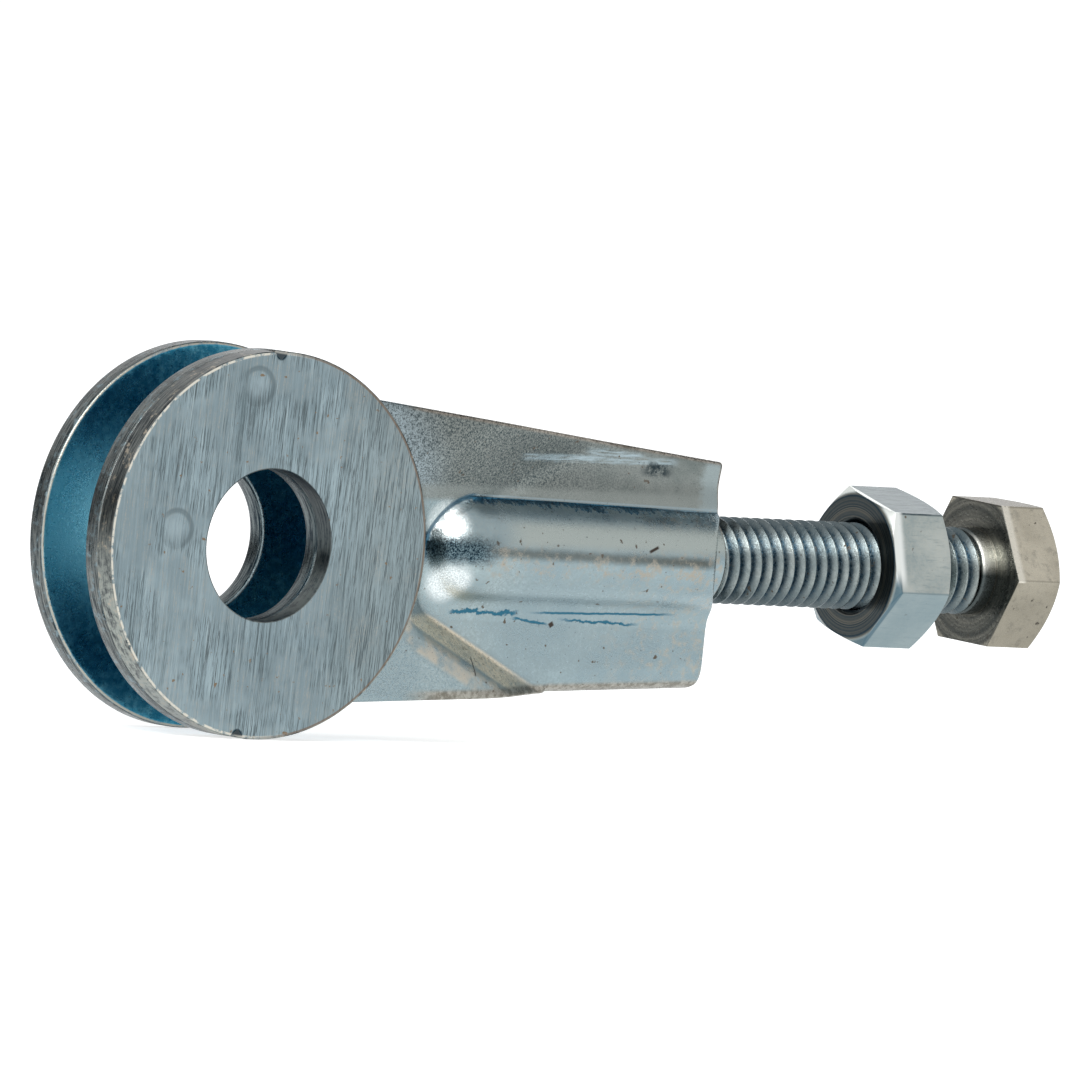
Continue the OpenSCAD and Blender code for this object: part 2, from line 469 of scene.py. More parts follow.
# %% Depth of the sheet: ears, bends and leaves
bend_r, bend_slope = 2.0, math.radians(45)
top_bend_r, top_bend_slope = 6.0, math.radians(24)
joggle_x, joggle_half_h = 16.5, 8.2
joggle_slant = math.radians(26)


def bend_run(radius, slope):
    """Length of a bend from the ear to the leaf."""
    ramp_drop = ear_in - seam_half - 2 * radius * (1 - math.cos(slope))
    return 2 * radius * math.sin(slope) + ramp_drop / math.tan(slope)


def smooth_min(a, b, width):
    """The smaller of two depths, rounded where they meet."""
    blend = np.clip(width - np.abs(a - b), 0, None) / width
    return np.minimum(a, b) - blend**2 * width / 4


def smooth_max(a, b, width):
    """The larger of two depths, rounded where they meet."""
    return -smooth_min(-a, -b, width)


def ease(low, high, value):
    """0 below low, 1 above high and a soft step between them."""
    share = np.clip((value - low) / (high - low), 0, 1)
    return share * share * (3 - 2 * share)


def bend_face(u, side, radius, slope):
    """Depth of a face at u past a bend line; side is 1 for the outer face and -1 for the inner."""
    run = bend_run(radius, slope)
    first_r, second_r = radius + side * sheet_t / 2, radius - side * sheet_t / 2
    ear_depth, leaf_depth = (ear_out, leaf_out) if side > 0 else (ear_in, seam_half)
    s = math.sin(slope)
    first = ear_depth - first_r + np.sqrt(first_r**2 - np.clip(u, 0, first_r * s) ** 2)
    second = leaf_depth + second_r - np.sqrt(second_r**2 - np.clip(run - u, 0, second_r * s) ** 2)
    start = ear_depth - first_r * (1 - math.cos(slope))
    ramp = start - (u - first_r * s) * math.tan(slope)
    return np.where(u < first_r * s, first, np.where(u > run - second_r * s, second, ramp))


def bent_sheet(x, z, side):
    """Depth of a face in the ear, through the three bends and in the leaf."""
    c, s = math.cos(joggle_slant), math.sin(joggle_slant)
    lower = (x - joggle_x) * s + (z + joggle_half_h) * c
    upper = (x - joggle_x) * s - (z - joggle_half_h) * c
    sharp = bend_face(smooth_min(x - joggle_x, lower, 1.6), side, bend_r, bend_slope)
    gentle = bend_face(upper, side, top_bend_r, top_bend_slope)
    low, high = (leaf_out, ear_out) if side > 0 else (seam_half, ear_in)
    share = np.clip((np.maximum(sharp, gentle) - low) / (high - low), 0, 1)
    return smooth_max(sharp, gentle, 0.02 + 2.4 * share * (1 - share))


for radius, slope in ((bend_r, bend_slope), (top_bend_r, top_bend_slope)):
    print(f"bend of {radius} mm radius runs over {bend_run(radius, slope):.2f} mm")

# %% [markdown]
# The bead rises out of the arm as half a cylinder with a round end, the dome. Press tools never leave
# sharp inside corners, so the bead melts into the leaf in a small hollow, crisp above and wide below.
# The upper leaf is dished a little, and the bead's upper edge falls slightly towards the arm's end.
# Along the bottom the outer face curves round the fold, and the inner one ends in it.

# %% Depth of the sheet: bead, dome and fold
bead_r, dome_x, crown_setback = 5.2, 26.2, 2.3
way_r = screw_r + 0.05
dome_way_r = 3.4
fold_start = 36.5
crease_z = 4.6
leaf_dish = 0.28
bead_taper = 0.0047
crisp_r, wide_r = 0.3, 2.5


def above_bottom(x, z):
    """Distance from the straight bottom edge, along the sheet."""
    return (z - bottom_z(x)) * math.cos(math.radians(bottom_taper))


def bead_depth(away, hollow_r):
    """Depth of the bead at a distance from its centre line, with a hollow that leads into the leaf."""
    hollow_at = np.sqrt((bead_r + hollow_r) ** 2 - (leaf_out + hollow_r) ** 2)
    leaves_at = hollow_at * bead_r / (bead_r + hollow_r)
    crown = np.sqrt(np.clip(bead_r**2 - away**2, 0, None))
    hollow = leaf_out + hollow_r - np.sqrt(np.clip(hollow_r**2 - (hollow_at - away) ** 2, 0, None))
    return np.where(away < leaves_at, crown, np.where(away < hollow_at, hollow, 0))


def outer_depth(x, z):
    """Distance of the outer face from the middle plane."""
    leaf = bent_sheet(x, z, 1)
    top = top_offset - x * math.tan(math.radians(top_taper))
    rise = np.clip((z - crease_z) / (top - crease_z), 0, 1)
    leaf = leaf - leaf_dish * ease(26, 34, x) * np.sin(np.pi * rise) ** 2 * (z > 0)
    across = np.where(z > 0, z * (1 + bead_taper * (x - 36)), z)
    hollow_r = crisp_r + (wide_r - crisp_r) * ease(1, -3, z)
    bead = bead_depth(np.hypot(across, np.minimum(x - dome_x, 0)), hollow_r)
    crown = leaf_out + (arm_end - x) * (bead_r - leaf_out) / crown_setback
    bead = smooth_min(bead, crown, 0.4)
    depth = smooth_max(leaf, bead, 0.15)
    above = above_bottom(x, z)
    fold = np.sqrt(np.clip(leaf_out**2 - np.clip(leaf_out - above, 0, leaf_out) ** 2, 0, None))
    share = ease(fold_start - 0.5, fold_start + 0.3, x)
    return np.where(above < leaf_out, (1 - share) * depth + share * np.minimum(depth, fold), depth)


def inner_depth(x, z):
    """Distance of the inner face from the middle plane; 0 where the fold joins both leaves."""
    leaf = bent_sheet(x, z, -1)
    reach = np.where(x < dome_x, dome_way_r, way_r)
    back = np.minimum(x - dome_x, 0)
    way = np.sqrt(np.clip(reach**2 - z**2 - back**2, 0, None))
    in_fold = (above_bottom(x, z) < sheet_t) & (x > fold_start - 0.01)
    return np.where(in_fold, 0.0, np.maximum(leaf, way))


crown_depth = outer_depth(np.array([40.0]), np.array([0.0]))[0]
print(f"the bead stands {crown_depth - leaf_out:.2f} mm proud of the leaf")

# %% [markdown]
# Now the blank itself. We fill the outline, extrude it to a plate, bore the axle hole and round its
# edges with a bevel. That is the order of the workshop too, where the blank is cut out before it is
# bent, and a bevel is far easier to make on a flat plate.

# %% Cut the blank
edge_round = 0.32


def add_plate(points):
    """A flat plate of the outline, from -1 to 1 mm across."""
    mesh = bpy.data.meshes.new("bracket")
    mesh.from_pydata(
        [(x * MM, -1 * MM, z * MM) for x, z in points],
        [(i, (i + 1) % len(points)) for i in range(len(points))],
        [],
    )
    plate = add_object("bracket", mesh)
    with editing(plate):
        bpy.ops.mesh.select_all(action="SELECT")
        bpy.ops.mesh.edge_face_add()
        bpy.ops.mesh.extrude_region_move(TRANSFORM_OT_translate={"value": (0, 2 * MM, 0)})
        bpy.ops.mesh.select_all(action="SELECT")
        bpy.ops.mesh.normals_make_consistent(inside=False)
    return plate


def add_rod(name, radius, length, middle, axis="Y", sides=128):
    """A plain cylinder along an axis, as a start or a cutting tool."""
    start_clean()
    turn = {"X": (0, math.pi / 2, 0), "Y": (math.pi / 2, 0, 0), "Z": (0, 0, 0)}[axis]
    bpy.ops.mesh.primitive_cylinder_add(
        vertices=sides,
        radius=radius * MM,
        depth=length * MM,
        location=Vector(middle) * MM,
        rotation=turn,
    )
    rod = name_new(name)
    bake_place(rod)
    return rod


def is_rim(edge):
    """Whether an edge lies between a face that looks along Y and one that doesn't."""
    flat = [abs(face.normal.y) > 0.9 for face in edge.link_faces]
    return len(flat) == 2 and flat[0] != flat[1]


def round_rims(obj, width, segments):
    """Rounds the rims of a plate and of its hole."""
    with editing(obj):
        picked = pick(obj, "edges", is_rim)
        bpy.ops.mesh.bevel(offset=width * MM, segments=segments, affect="EDGES", profile=0.5)
    return picked


bracket = add_plate(outline)
cut_with(bracket, add_rod("bore_tool", bore_r, 10, (0, 0, 0)))
print("rim edges rounded:", round_rims(bracket, edge_round, 3))

# %% [markdown]
# A flat face can't bend where it has no edges. Bisect rules the plate like graph paper and adds lines
# along each bend, the bead's flanks and the round of the fold, so that every curve has edges that
# follow it. The lines lie close together where the curve is tight.

# %% Rule the blank for bending
grid_step = 0.5
sharp_lines = (0.0, 0.4, 0.9, 1.5, 2.1, 3.1, 4.15, 4.4, 4.65, bend_run(bend_r, bend_slope))
gentle_lines = (0.0, 0.7, 1.4, 2.1, 2.85, 7.7, 8.2, 8.7, 9.2, bend_run(top_bend_r, top_bend_slope))


def rule_lines(obj, planes):
    """Cuts edges into the whole mesh along planes, each given by a point in mm and a normal."""
    with editing(obj):
        bpy.ops.mesh.select_mode(type="FACE")
        for point, normal in planes:
            bpy.ops.mesh.select_all(action="SELECT")
            bpy.ops.mesh.bisect(plane_co=Vector(point) * MM, plane_no=normal, threshold=0.01 * MM)


def grid_planes():
    """Planes for the graph paper, the bead's flanks, the bends and the round of the fold."""
    planes = [((x, 0, 0), (1, 0, 0)) for x in np.arange(-17.25, arm_end, grid_step)]
    heights = list(np.arange(-17.25, -7, grid_step)) + list(np.arange(7, 17.5, grid_step))
    heights += list(np.arange(-7, -3.4, 0.2)) + list(np.arange(3.4, 7, 0.2))
    heights += [way_r * math.sin(math.radians(a)) for a in range(-50, 51, 10)]
    planes += [((0, 0, z), (0, 0, 1)) for z in heights]
    planes += [((x, 0, 0), (1, 0, 0)) for x in np.arange(arm_end - 2.7, arm_end - 0.4, 0.25)]
    c, s = math.cos(joggle_slant), math.sin(joggle_slant)
    for u in sharp_lines:
        planes.append(((joggle_x + u, 0, 0), (1, 0, 0)))
        planes.append(((joggle_x + u * s, 0, u * c - joggle_half_h), (s, 0, c)))
    for u in gentle_lines:
        planes.append(((joggle_x + u * s, 0, joggle_half_h - u * c), (s, 0, -c)))
    tilt = math.radians(bottom_taper)
    for angle in range(15, 91, 15):
        lift = leaf_out * (1 - math.cos(math.radians(angle)))
        point = (0, 0, -(bottom_offset - lift) / math.cos(tilt))
        planes.append((point, (-math.sin(tilt), 0, math.cos(tilt))))
    return planes


rule_lines(bracket, grid_planes())
print("blank ruled into", len(bracket.data.polygons), "faces")

# %% [markdown]
# Pressing the sheet is now a single move: each vertex goes across to the depth that was worked out for
# its place. Mirror makes the other leaf. The faces on the middle plane are dropped first, so that both
# leaves flow into each other in the fold along the bottom.

# %% Press the sheet
def press_sheet(plate):
    """Moves each vertex of the flat plate to the depth of the formed sheet, front leaf at -Y."""
    count = len(plate.data.vertices)
    place = np.empty(count * 3)
    plate.data.vertices.foreach_get("co", place)
    place = place.reshape(-1, 3) / MM
    share = (1 - place[:, 1]) / 2
    outside = outer_depth(place[:, 0], place[:, 2])
    inside = inner_depth(place[:, 0], place[:, 2])
    place[:, 1] = -(inside + (outside - inside) * share)
    plate.data.vertices.foreach_set("co", (place * MM).ravel())
    plate.data.update()


def drop_middle_faces(obj):
    """Deletes the faces that lie on the middle plane, where the fold joins both leaves."""
    with editing(obj):
        dropped = pick(obj, "faces", lambda f: all(abs(v.co.y) < 0.001 * MM for v in f.verts))
        bpy.ops.mesh.delete(type="FACE")
    return dropped


press_sheet(bracket)
print("faces dropped in the fold:", drop_middle_faces(bracket))
use_modifier(bracket, "MIRROR", use_axis=(False, True, False), use_mirror_merge=True,
             merge_threshold=0.001 * MM)
tidy_mesh(bracket)
report(bracket)

# %% [markdown]
# The index washer is a thick ring, ground flat after it was stamped. It is a cylinder with a bore, two
# V notches that line up with the marks on the swingarm, and two faint round dimples that may be weld
# marks. Notches and dimples are cut with small tool bodies, and a bevel then breaks every rim.

# %% Model the washer
notch_places = (91.0, 264.0)
notch_w, notch_depth = 1.7, 0.8
dimple_places = ((-2.6, 14.2), (-10.4, 1.1))
dimple_w, dimple_depth = 3.6, 0.12
washer_mid = (washer_low.y + washer_high.y) / 2


def add_notch_tool(degrees):
    """A small wedge across the washer's rim, its point inwards."""
    start_clean()
    bpy.ops.mesh.primitive_cylinder_add(vertices=3, radius=1, depth=1, rotation=(math.pi / 2, 0, 0))
    tool = name_new("notch_tool")
    bake_place(tool)
    a = math.radians(degrees)
    out, side = Vector((math.cos(a), 0, math.sin(a))), Vector((-math.sin(a), 0, math.cos(a)))
    corners = [out * (ear_r - notch_depth)]
    corners += [out * (ear_r + notch_depth) + side * way * notch_w for way in (-1, 1)]
    order = sorted({(round(v.co.x, 6), round(v.co.z, 6)) for v in tool.data.vertices})
    for vertex in tool.data.vertices:
        place = order.index((round(vertex.co.x, 6), round(vertex.co.z, 6)))
        depth = washer_mid + math.copysign(washer_t, vertex.co.y)
        vertex.co = Vector((corners[place].x, depth, corners[place].z)) * MM
    tidy_mesh(tool)
    return tool


def add_dimple_tool(x, z):
    """A large ball that dips a little into the washer's face."""
    radius = (dimple_w**2 / 4 + dimple_depth**2) / (2 * dimple_depth)
    start_clean()
    bpy.ops.mesh.primitive_uv_sphere_add(
        segments=64,
        ring_count=48,
        radius=radius * MM,
        location=Vector((x, washer_low.y - radius + dimple_depth, z)) * MM,
        rotation=(math.pi / 2, 0, 0),
    )
    tool = name_new("dimple_tool")
    bake_place(tool)
    return tool


washer = add_rod("washer", ear_r, washer_t, (0, washer_mid, 0), sides=192)
cut_with(washer, add_rod("bore_tool", bore_r, 3 * washer_t, (0, washer_mid, 0)))
for place in notch_places:
    cut_with(washer, add_notch_tool(place))
for x, z in dimple_places:
    cut_with(washer, add_dimple_tool(x, z))
tidy_mesh(washer)
use_modifier(washer, "BEVEL", width=0.3 * MM, segments=3, limit_method="ANGLE",
             angle_limit=math.radians(35))
tidy_mesh(washer)
report(washer)

# %% [markdown]
# The screw has a real thread. Its profile is one pitch of the standard thread form: a narrow crest, two
# flanks and a round root. The Screw modifier winds it round the axis, and bisect trims both ends. A
# short stretch under the head stays plain, so the thread ends before it.

# %% Cut the thread
thread_steps = 48
root_r = 3.25
plain_l = 1.5


def add_thread(start, end):
    """A threaded rod from start to end along X; the profile is share of the pitch, then radius."""
    profile = [
        (0.0, root_r + 0.06),
        (0.07, root_r),
        (0.18, root_r),
        (0.25, root_r + 0.06),
        (0.55, screw_r - 0.05),
        (0.6, screw_r),
        (0.68, screw_r),
        (0.73, screw_r - 0.05),
        (1.0, root_r + 0.06),
    ]
    turns = math.ceil((end - start) / thread_pitch) + 3
    first = start - 1.5 * thread_pitch
    mesh = bpy.data.meshes.new("thread")
    mesh.from_pydata(
        [((first + share * thread_pitch) * MM, 0, radius * MM) for share, radius in profile],
        [(i, i + 1) for i in range(len(profile) - 1)],
        [],
    )
    rod = add_object("thread", mesh)
    use_modifier(rod, "SCREW", axis="X", steps=thread_steps, render_steps=thread_steps,
                 screw_offset=thread_pitch * MM, iterations=turns, use_merge_vertices=True,
                 merge_threshold=0.001 * MM)
    with editing(rod):
        for place, way in ((start, -1), (end, 1)):
            bpy.ops.mesh.select_all(action="SELECT")
            bpy.ops.mesh.bisect(plane_co=(place * MM, 0, 0), plane_no=(way, 0, 0), use_fill=True,
                                clear_outer=True, threshold=0.0001 * MM)
    tidy_mesh(rod)
    return rod


screw = add_thread(screw_low.x, head_x - plain_l + 0.3)
report(screw)

# %% [markdown]
# Head and lock nut are hexagons whose corners were turned off on a lathe. We do the same: a hexagonal
# bar is met with a round body that narrows at its end. What is left has the curved chamfer lines that
# every bolt head has.

# %% A hexagon with turned corners
def add_hexagon(name, start, height, turn_deg, both_ends):
    """A hexagon along X with its corners turned off at 30 degrees."""
    corner_r = across_flats / 2 / math.cos(math.radians(30))
    drop = (corner_r - across_flats / 2) * math.tan(math.radians(30))
    middle = (start + height / 2, 0, 0)
    body = add_rod(name, corner_r, height, middle, axis="X", sides=6)
    low = drop if both_ends else 0
    round_body = add_rod("turned", corner_r + 0.005, height - drop - low,
                         (start + (low + height - drop) / 2, 0, 0), axis="X", sides=128)
    share = (across_flats / 2 - 0.02) / (corner_r + 0.005)
    with editing(round_body):
        for way, length in ((1, drop), (-1, low)):
            if length:
                spread_out(round_body, way, length, share)
    turn_about_x(body, turn_deg)
    cut_with(body, round_body, "INTERSECT")
    return body


def turn_about_x(obj, degrees):
    """Turns a hexagon so that one corner lies degrees from the top, towards the front."""
    place = np.array([v.co for v in obj.data.vertices])
    lean = math.degrees(math.atan2(-place[0, 1], place[0, 2]))
    angle = math.radians(degrees - lean)
    c, s = math.cos(angle), math.sin(angle)
    y, z = place[:, 1].copy(), place[:, 2].copy()
    place[:, 1] = c * y - s * z
    place[:, 2] = s * y + c * z
    obj.data.vertices.foreach_set("co", place.ravel())
    obj.data.update()


head_turn = 32.0
head = add_hexagon("head", head_x, head_h, head_turn, False)
use_modifier(head, "BEVEL", width=0.18 * MM, segments=3, limit_method="ANGLE",
             angle_limit=math.radians(22))
report(head)

# %% [markdown]
# The tip of a screw is turned to a cone, so that it finds its hole. A round body with a bevelled end
# cuts that cone from the thread. Then the plain collar and the head are joined on, and the screw is
# one closed mesh.

# %% Finish the screw
tip_bevel = 0.8
tip_body = add_rod("tip_body", screw_r + 0.02, head_x + 1 - screw_low.x,
                   ((screw_low.x + head_x + 1) / 2, 0, 0), axis="X", sides=96)
with editing(tip_body):
    pick(tip_body, "edges", lambda e: all(v.co.x < (screw_low.x + 0.01) * MM for v in e.verts))
    bpy.ops.mesh.bevel(offset=tip_bevel * MM, segments=1, affect="EDGES")
cut_with(screw, tip_body, "INTERSECT")
collar = add_rod("collar", screw_r, plain_l + 0.5, (head_x + (0.5 - plain_l) / 2, 0, 0),
                 axis="X", sides=96)
use_modifier(collar, "BEVEL", width=0.3 * MM, segments=3, limit_method="ANGLE",
             angle_limit=math.radians(40))
cut_with(screw, collar, "UNION")
cut_with(screw, head, "UNION")
screw.name = "screw"
screw.data.name = "screw"
tidy_mesh(screw)
report(screw)

# %% [markdown]
# The lock nut is the same kind of hexagon, turned off at both ends, with a countersunk hole. The hole
# is drilled at the thread's outer diameter, because nut and screw slide past each other in this model.

# %% Model the nut
nut_turn = 44.4
countersink = 0.45


def add_hole_tool():
    """A drill with a countersink at each end of the nut."""
    tool = add_rod("drill", way_r, nut_h - 2 * countersink, ((nut_low.x + nut_high.x) / 2, 0, 0),
                   axis="X", sides=96)
    reach = countersink + 0.5
    with editing(tool):
        for way in (1, -1):
            spread_out(tool, way, reach, (way_r + reach) / way_r)
    return tool


nut = add_hexagon("nut", nut_low.x, nut_h, nut_turn, True)
cut_with(nut, add_hole_tool())
tidy_mesh(nut)
use_modifier(nut, "BEVEL", width=0.16 * MM, segments=3, limit_method="ANGLE",
             angle_limit=math.radians(22))
tidy_mesh(nut)
report(nut)

# %% [markdown]
# Every piece now takes the place of its solid and rides on the body that carries it. Smooth shading
# hides the facets of curves, and the limit of 32 degrees keeps real corners sharp. Weighted normals
# let the large flats decide how a rounded edge is shaded, so that flats stay flat.

# %% Put the pieces on their bodies
for piece, node, body, slot in (
    (bracket, "folded_bracket", "bracket", "plated_sheet"),
    (washer, "index_washer", "bracket", "ground_washer"),
    (screw, "adjuster_screw", "screw", "screw_steel"),
    (nut, "lock_nut", "nut", "nut_zinc"),
):
    make_active(piece)
    bpy.ops.object.shade_smooth_by_angle(angle=math.radians(32))
    use_modifier(piece, "WEIGHTED_NORMAL", keep_sharp=True)
    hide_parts(node)
    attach(piece, body)
start_clean()

# %% [markdown]
# The adjuster is steel under a thin coat of zinc, with the cold blue tint of a chromate bath. Such a
# coat is never even. It follows the grain of the sheet, goes dark where tools scraped it, and wears
# warm on edges. On top of that we paint light and shade: painted shade in creases, hollows, roots and
# notches, and painted highlights on edges and flats. We paint all of that with nodes on the piece's
# own coordinates, so the marks stay where they are when a piece moves. A small class keeps the
# wiring readable.

# %% Helpers for materials
def paint(red, green, blue):
    """A colour as the screen shows it, 0 to 255, in the linear values that a shader needs."""
    return tuple((value / 255) ** 2.2 for value in (red, green, blue))


class Board:
    """Adds nodes to a tree and wires them; numbers and colours are set on the sockets themselves."""

    def __init__(self, tree):
        self.tree = tree

    def add(self, kind, **settings):
        """A new node of a kind, with its settings."""
        node = self.tree.nodes.new(kind if kind.startswith("Node") else "ShaderNode" + kind)
        for key, value in settings.items():
            setattr(node, key, value)
        return node

    def wire(self, socket, value):
        """Links a socket to another one, or sets the number or colour on it."""
        if isinstance(value, bpy.types.NodeSocket):
            self.tree.links.new(value, socket)
        elif socket.type == "RGBA":
            socket.default_value = (*value, 1)
        else:
            socket.default_value = value

    def maths(self, operation, *values):
        """The result of one calculation with values or masks."""
        node = self.add("Math", operation=operation)
        for socket, value in zip(node.inputs, values):
            self.wire(socket, value)
        return node.outputs[0]

    def both(self, *masks):
        """1 only where all masks are 1; a number among them thins the mask."""
        total = masks[0]
        for mask in masks[1:]:
            total = self.maths("MULTIPLY", total, mask)
        return total

    def either(self, *masks):
        """1 where any of the masks is 1."""
        total = masks[0]
        for mask in masks[1:]:
            total = self.maths("MAXIMUM", total, mask)
        return total

    def radius(self, first, second):
        """Distance from an axis, from the two coordinates across it."""
        squares = [self.maths("POWER", value, 2.0) for value in (first, second)]
        return self.maths("SQRT", self.maths("ADD", *squares))

    def mix(self, mask, first, second):
        """The first colour where the mask is 0, the second where it is 1."""
        node = self.add("Mix", data_type="RGBA")
        self.wire(node.inputs[0], mask)
        self.wire(node.inputs[6], first)
        self.wire(node.inputs[7], second)
        return node.outputs[2]


print("a screen grey of 128 is", round(paint(128, 128, 128)[0], 3), "in linear values")

# %% [markdown]
# A mask says where something shows: 0 is nowhere and 1 is fully there. Most of our masks start as a
# distance or as a noise, and a soft step makes a mask of it. A noise has round grains, so streaks need
# a squeeze: the pattern is read faster one way than the other.

# %% Helpers for masks and noises
class Masks(Board):
    """A board that also makes masks and noises."""

    def step(self, value, low, high):
        """0 below low and 1 above high, with a soft step; low above high turns it round."""
        node = self.add("MapRange", interpolation_type="SMOOTHSTEP")
        self.wire(node.inputs["Value"], value)
        node.inputs["From Min"].default_value = low
        node.inputs["From Max"].default_value = high
        return node.outputs["Result"]

    def spread(self, value, low, high):
        """Stretches 0 to 1 to the range from low to high."""
        node = self.add("MapRange")
        self.wire(node.inputs["Value"], value)
        node.inputs["To Min"].default_value = low
        node.inputs["To Max"].default_value = high
        return node.outputs["Result"]

    def band(self, value, middle, half, soft):
        """1 within half of the middle, 0 further away."""
        away = self.maths("ABSOLUTE", self.maths("SUBTRACT", value, middle))
        return self.step(away, half + soft, half)

    def noise(self, place, scale, detail=3.0, rough=0.55):
        """A cloudy pattern from 0 to 1; a larger scale makes smaller grains."""
        node = self.add("TexNoise")
        self.wire(node.inputs["Vector"], place)
        self.wire(node.inputs["Scale"], scale)
        node.inputs["Detail"].default_value = detail
        node.inputs["Roughness"].default_value = rough
        return node.outputs["Fac"]

    def squeeze(self, place, scale, turn_deg=0.0):
        """Turns a pattern about Y and squeezes it, so that round grains become streaks."""
        turn = self.add("Mapping")
        self.wire(turn.inputs["Vector"], place)
        turn.inputs["Rotation"].default_value = (0, math.radians(turn_deg), 0)
        node = self.add("VectorMath", operation="MULTIPLY")
        self.wire(node.inputs[0], turn.outputs[0])
        self.wire(node.inputs[1], scale)
        return node.outputs[0]


print("mask helpers:", [name for name in vars(Masks) if not name.startswith("_")])

# %% [markdown]
# Some patterns show on more than one piece. Every piece has wide blotches from the bath, a fine grain,
# and dark specks where the coat is open. The rims of bracket and washer carry the fine lines of a
# sheared edge, and the near faces of nut and screw head show turned rings. Each pattern is built
# once, as a node group with named inputs, and every material places it with its own values.

# %% Patterns that the pieces share
def new_group(name, inputs, outputs):
    """A node group with named sockets: its board, what it is given and what it hands out."""
    board = Masks(bpy.data.node_groups.new(name, "ShaderNodeTree"))
    face = board.tree.interface
    face.new_socket(name="Place", in_out="INPUT", socket_type="NodeSocketVector")
    for socket, kind in inputs:
        face.new_socket(name=socket, in_out="INPUT", socket_type="NodeSocket" + kind)
    for socket in outputs:
        face.new_socket(name=socket, in_out="OUTPUT", socket_type="NodeSocketFloat")
    return board, board.add("NodeGroupInput").outputs, board.add("NodeGroupOutput").inputs


def plating_group():
    """Blotches, grain and specks of the zinc coat."""
    board, given, result = new_group("plating_grain",
                                     (("Grain Scale", "Float"), ("Speck Scale", "Float")),
                                     ("Blotch", "Grain", "Specks"))
    blotch = board.noise(given["Place"], 0.22, detail=5.0, rough=0.6)
    grain = board.noise(given["Place"], given["Grain Scale"], detail=3.0, rough=0.7)
    specks = board.noise(given["Place"], given["Speck Scale"], detail=2.0)
    board.wire(result["Blotch"], board.step(blotch, 0.34, 0.66))
    board.wire(result["Grain"], board.step(grain, 0.3, 0.7))
    board.wire(result["Specks"], board.step(specks, 0.69, 0.75))
    return board.tree


def rim_lines_group():
    """Fine lines that run round a rim, because the noise is squeezed across it."""
    board, given, result = new_group("rim_lines", (("Squeeze", "Vector"),), ("Lines",))
    squeezed = board.squeeze(given["Place"], given["Squeeze"])
    board.wire(result["Lines"], board.noise(squeezed, 1.0, detail=3.0, rough=0.7))
    return board.tree


def turned_rings_group():
    """Turned rings: a noise that changes with the distance from the screw's axis only."""
    board, given, result = new_group("turned_rings", (("Scale", "Float"),), ("Rings",))
    split = board.add("SeparateXYZ")
    board.wire(split.inputs[0], given["Place"])
    line = board.add("CombineXYZ")
    board.wire(line.inputs[0], board.radius(split.outputs[1], split.outputs[2]))
    board.wire(result["Rings"], board.noise(line.outputs[0], given["Scale"], detail=4.0, rough=0.7))
    return board.tree


plating = plating_group()
rim_lines = rim_lines_group()
turned_rings = turned_rings_group()
for group in (plating, rim_lines, turned_rings):
    print(f"{group.name}:", [socket.name for socket in group.interface.items_tree])

# %% [markdown]
# A finish is a metal with the zinc's patterns already at hand. Its coordinates are in millimetres from
# the middle of the axle bore, so each mark can be given its place on the part. Colours are laid over
# each other like thin coats of paint, each through a mask that says where it shows. A stroke is the
# mask of one mark, such as a scratch or a crease, from one point to another.

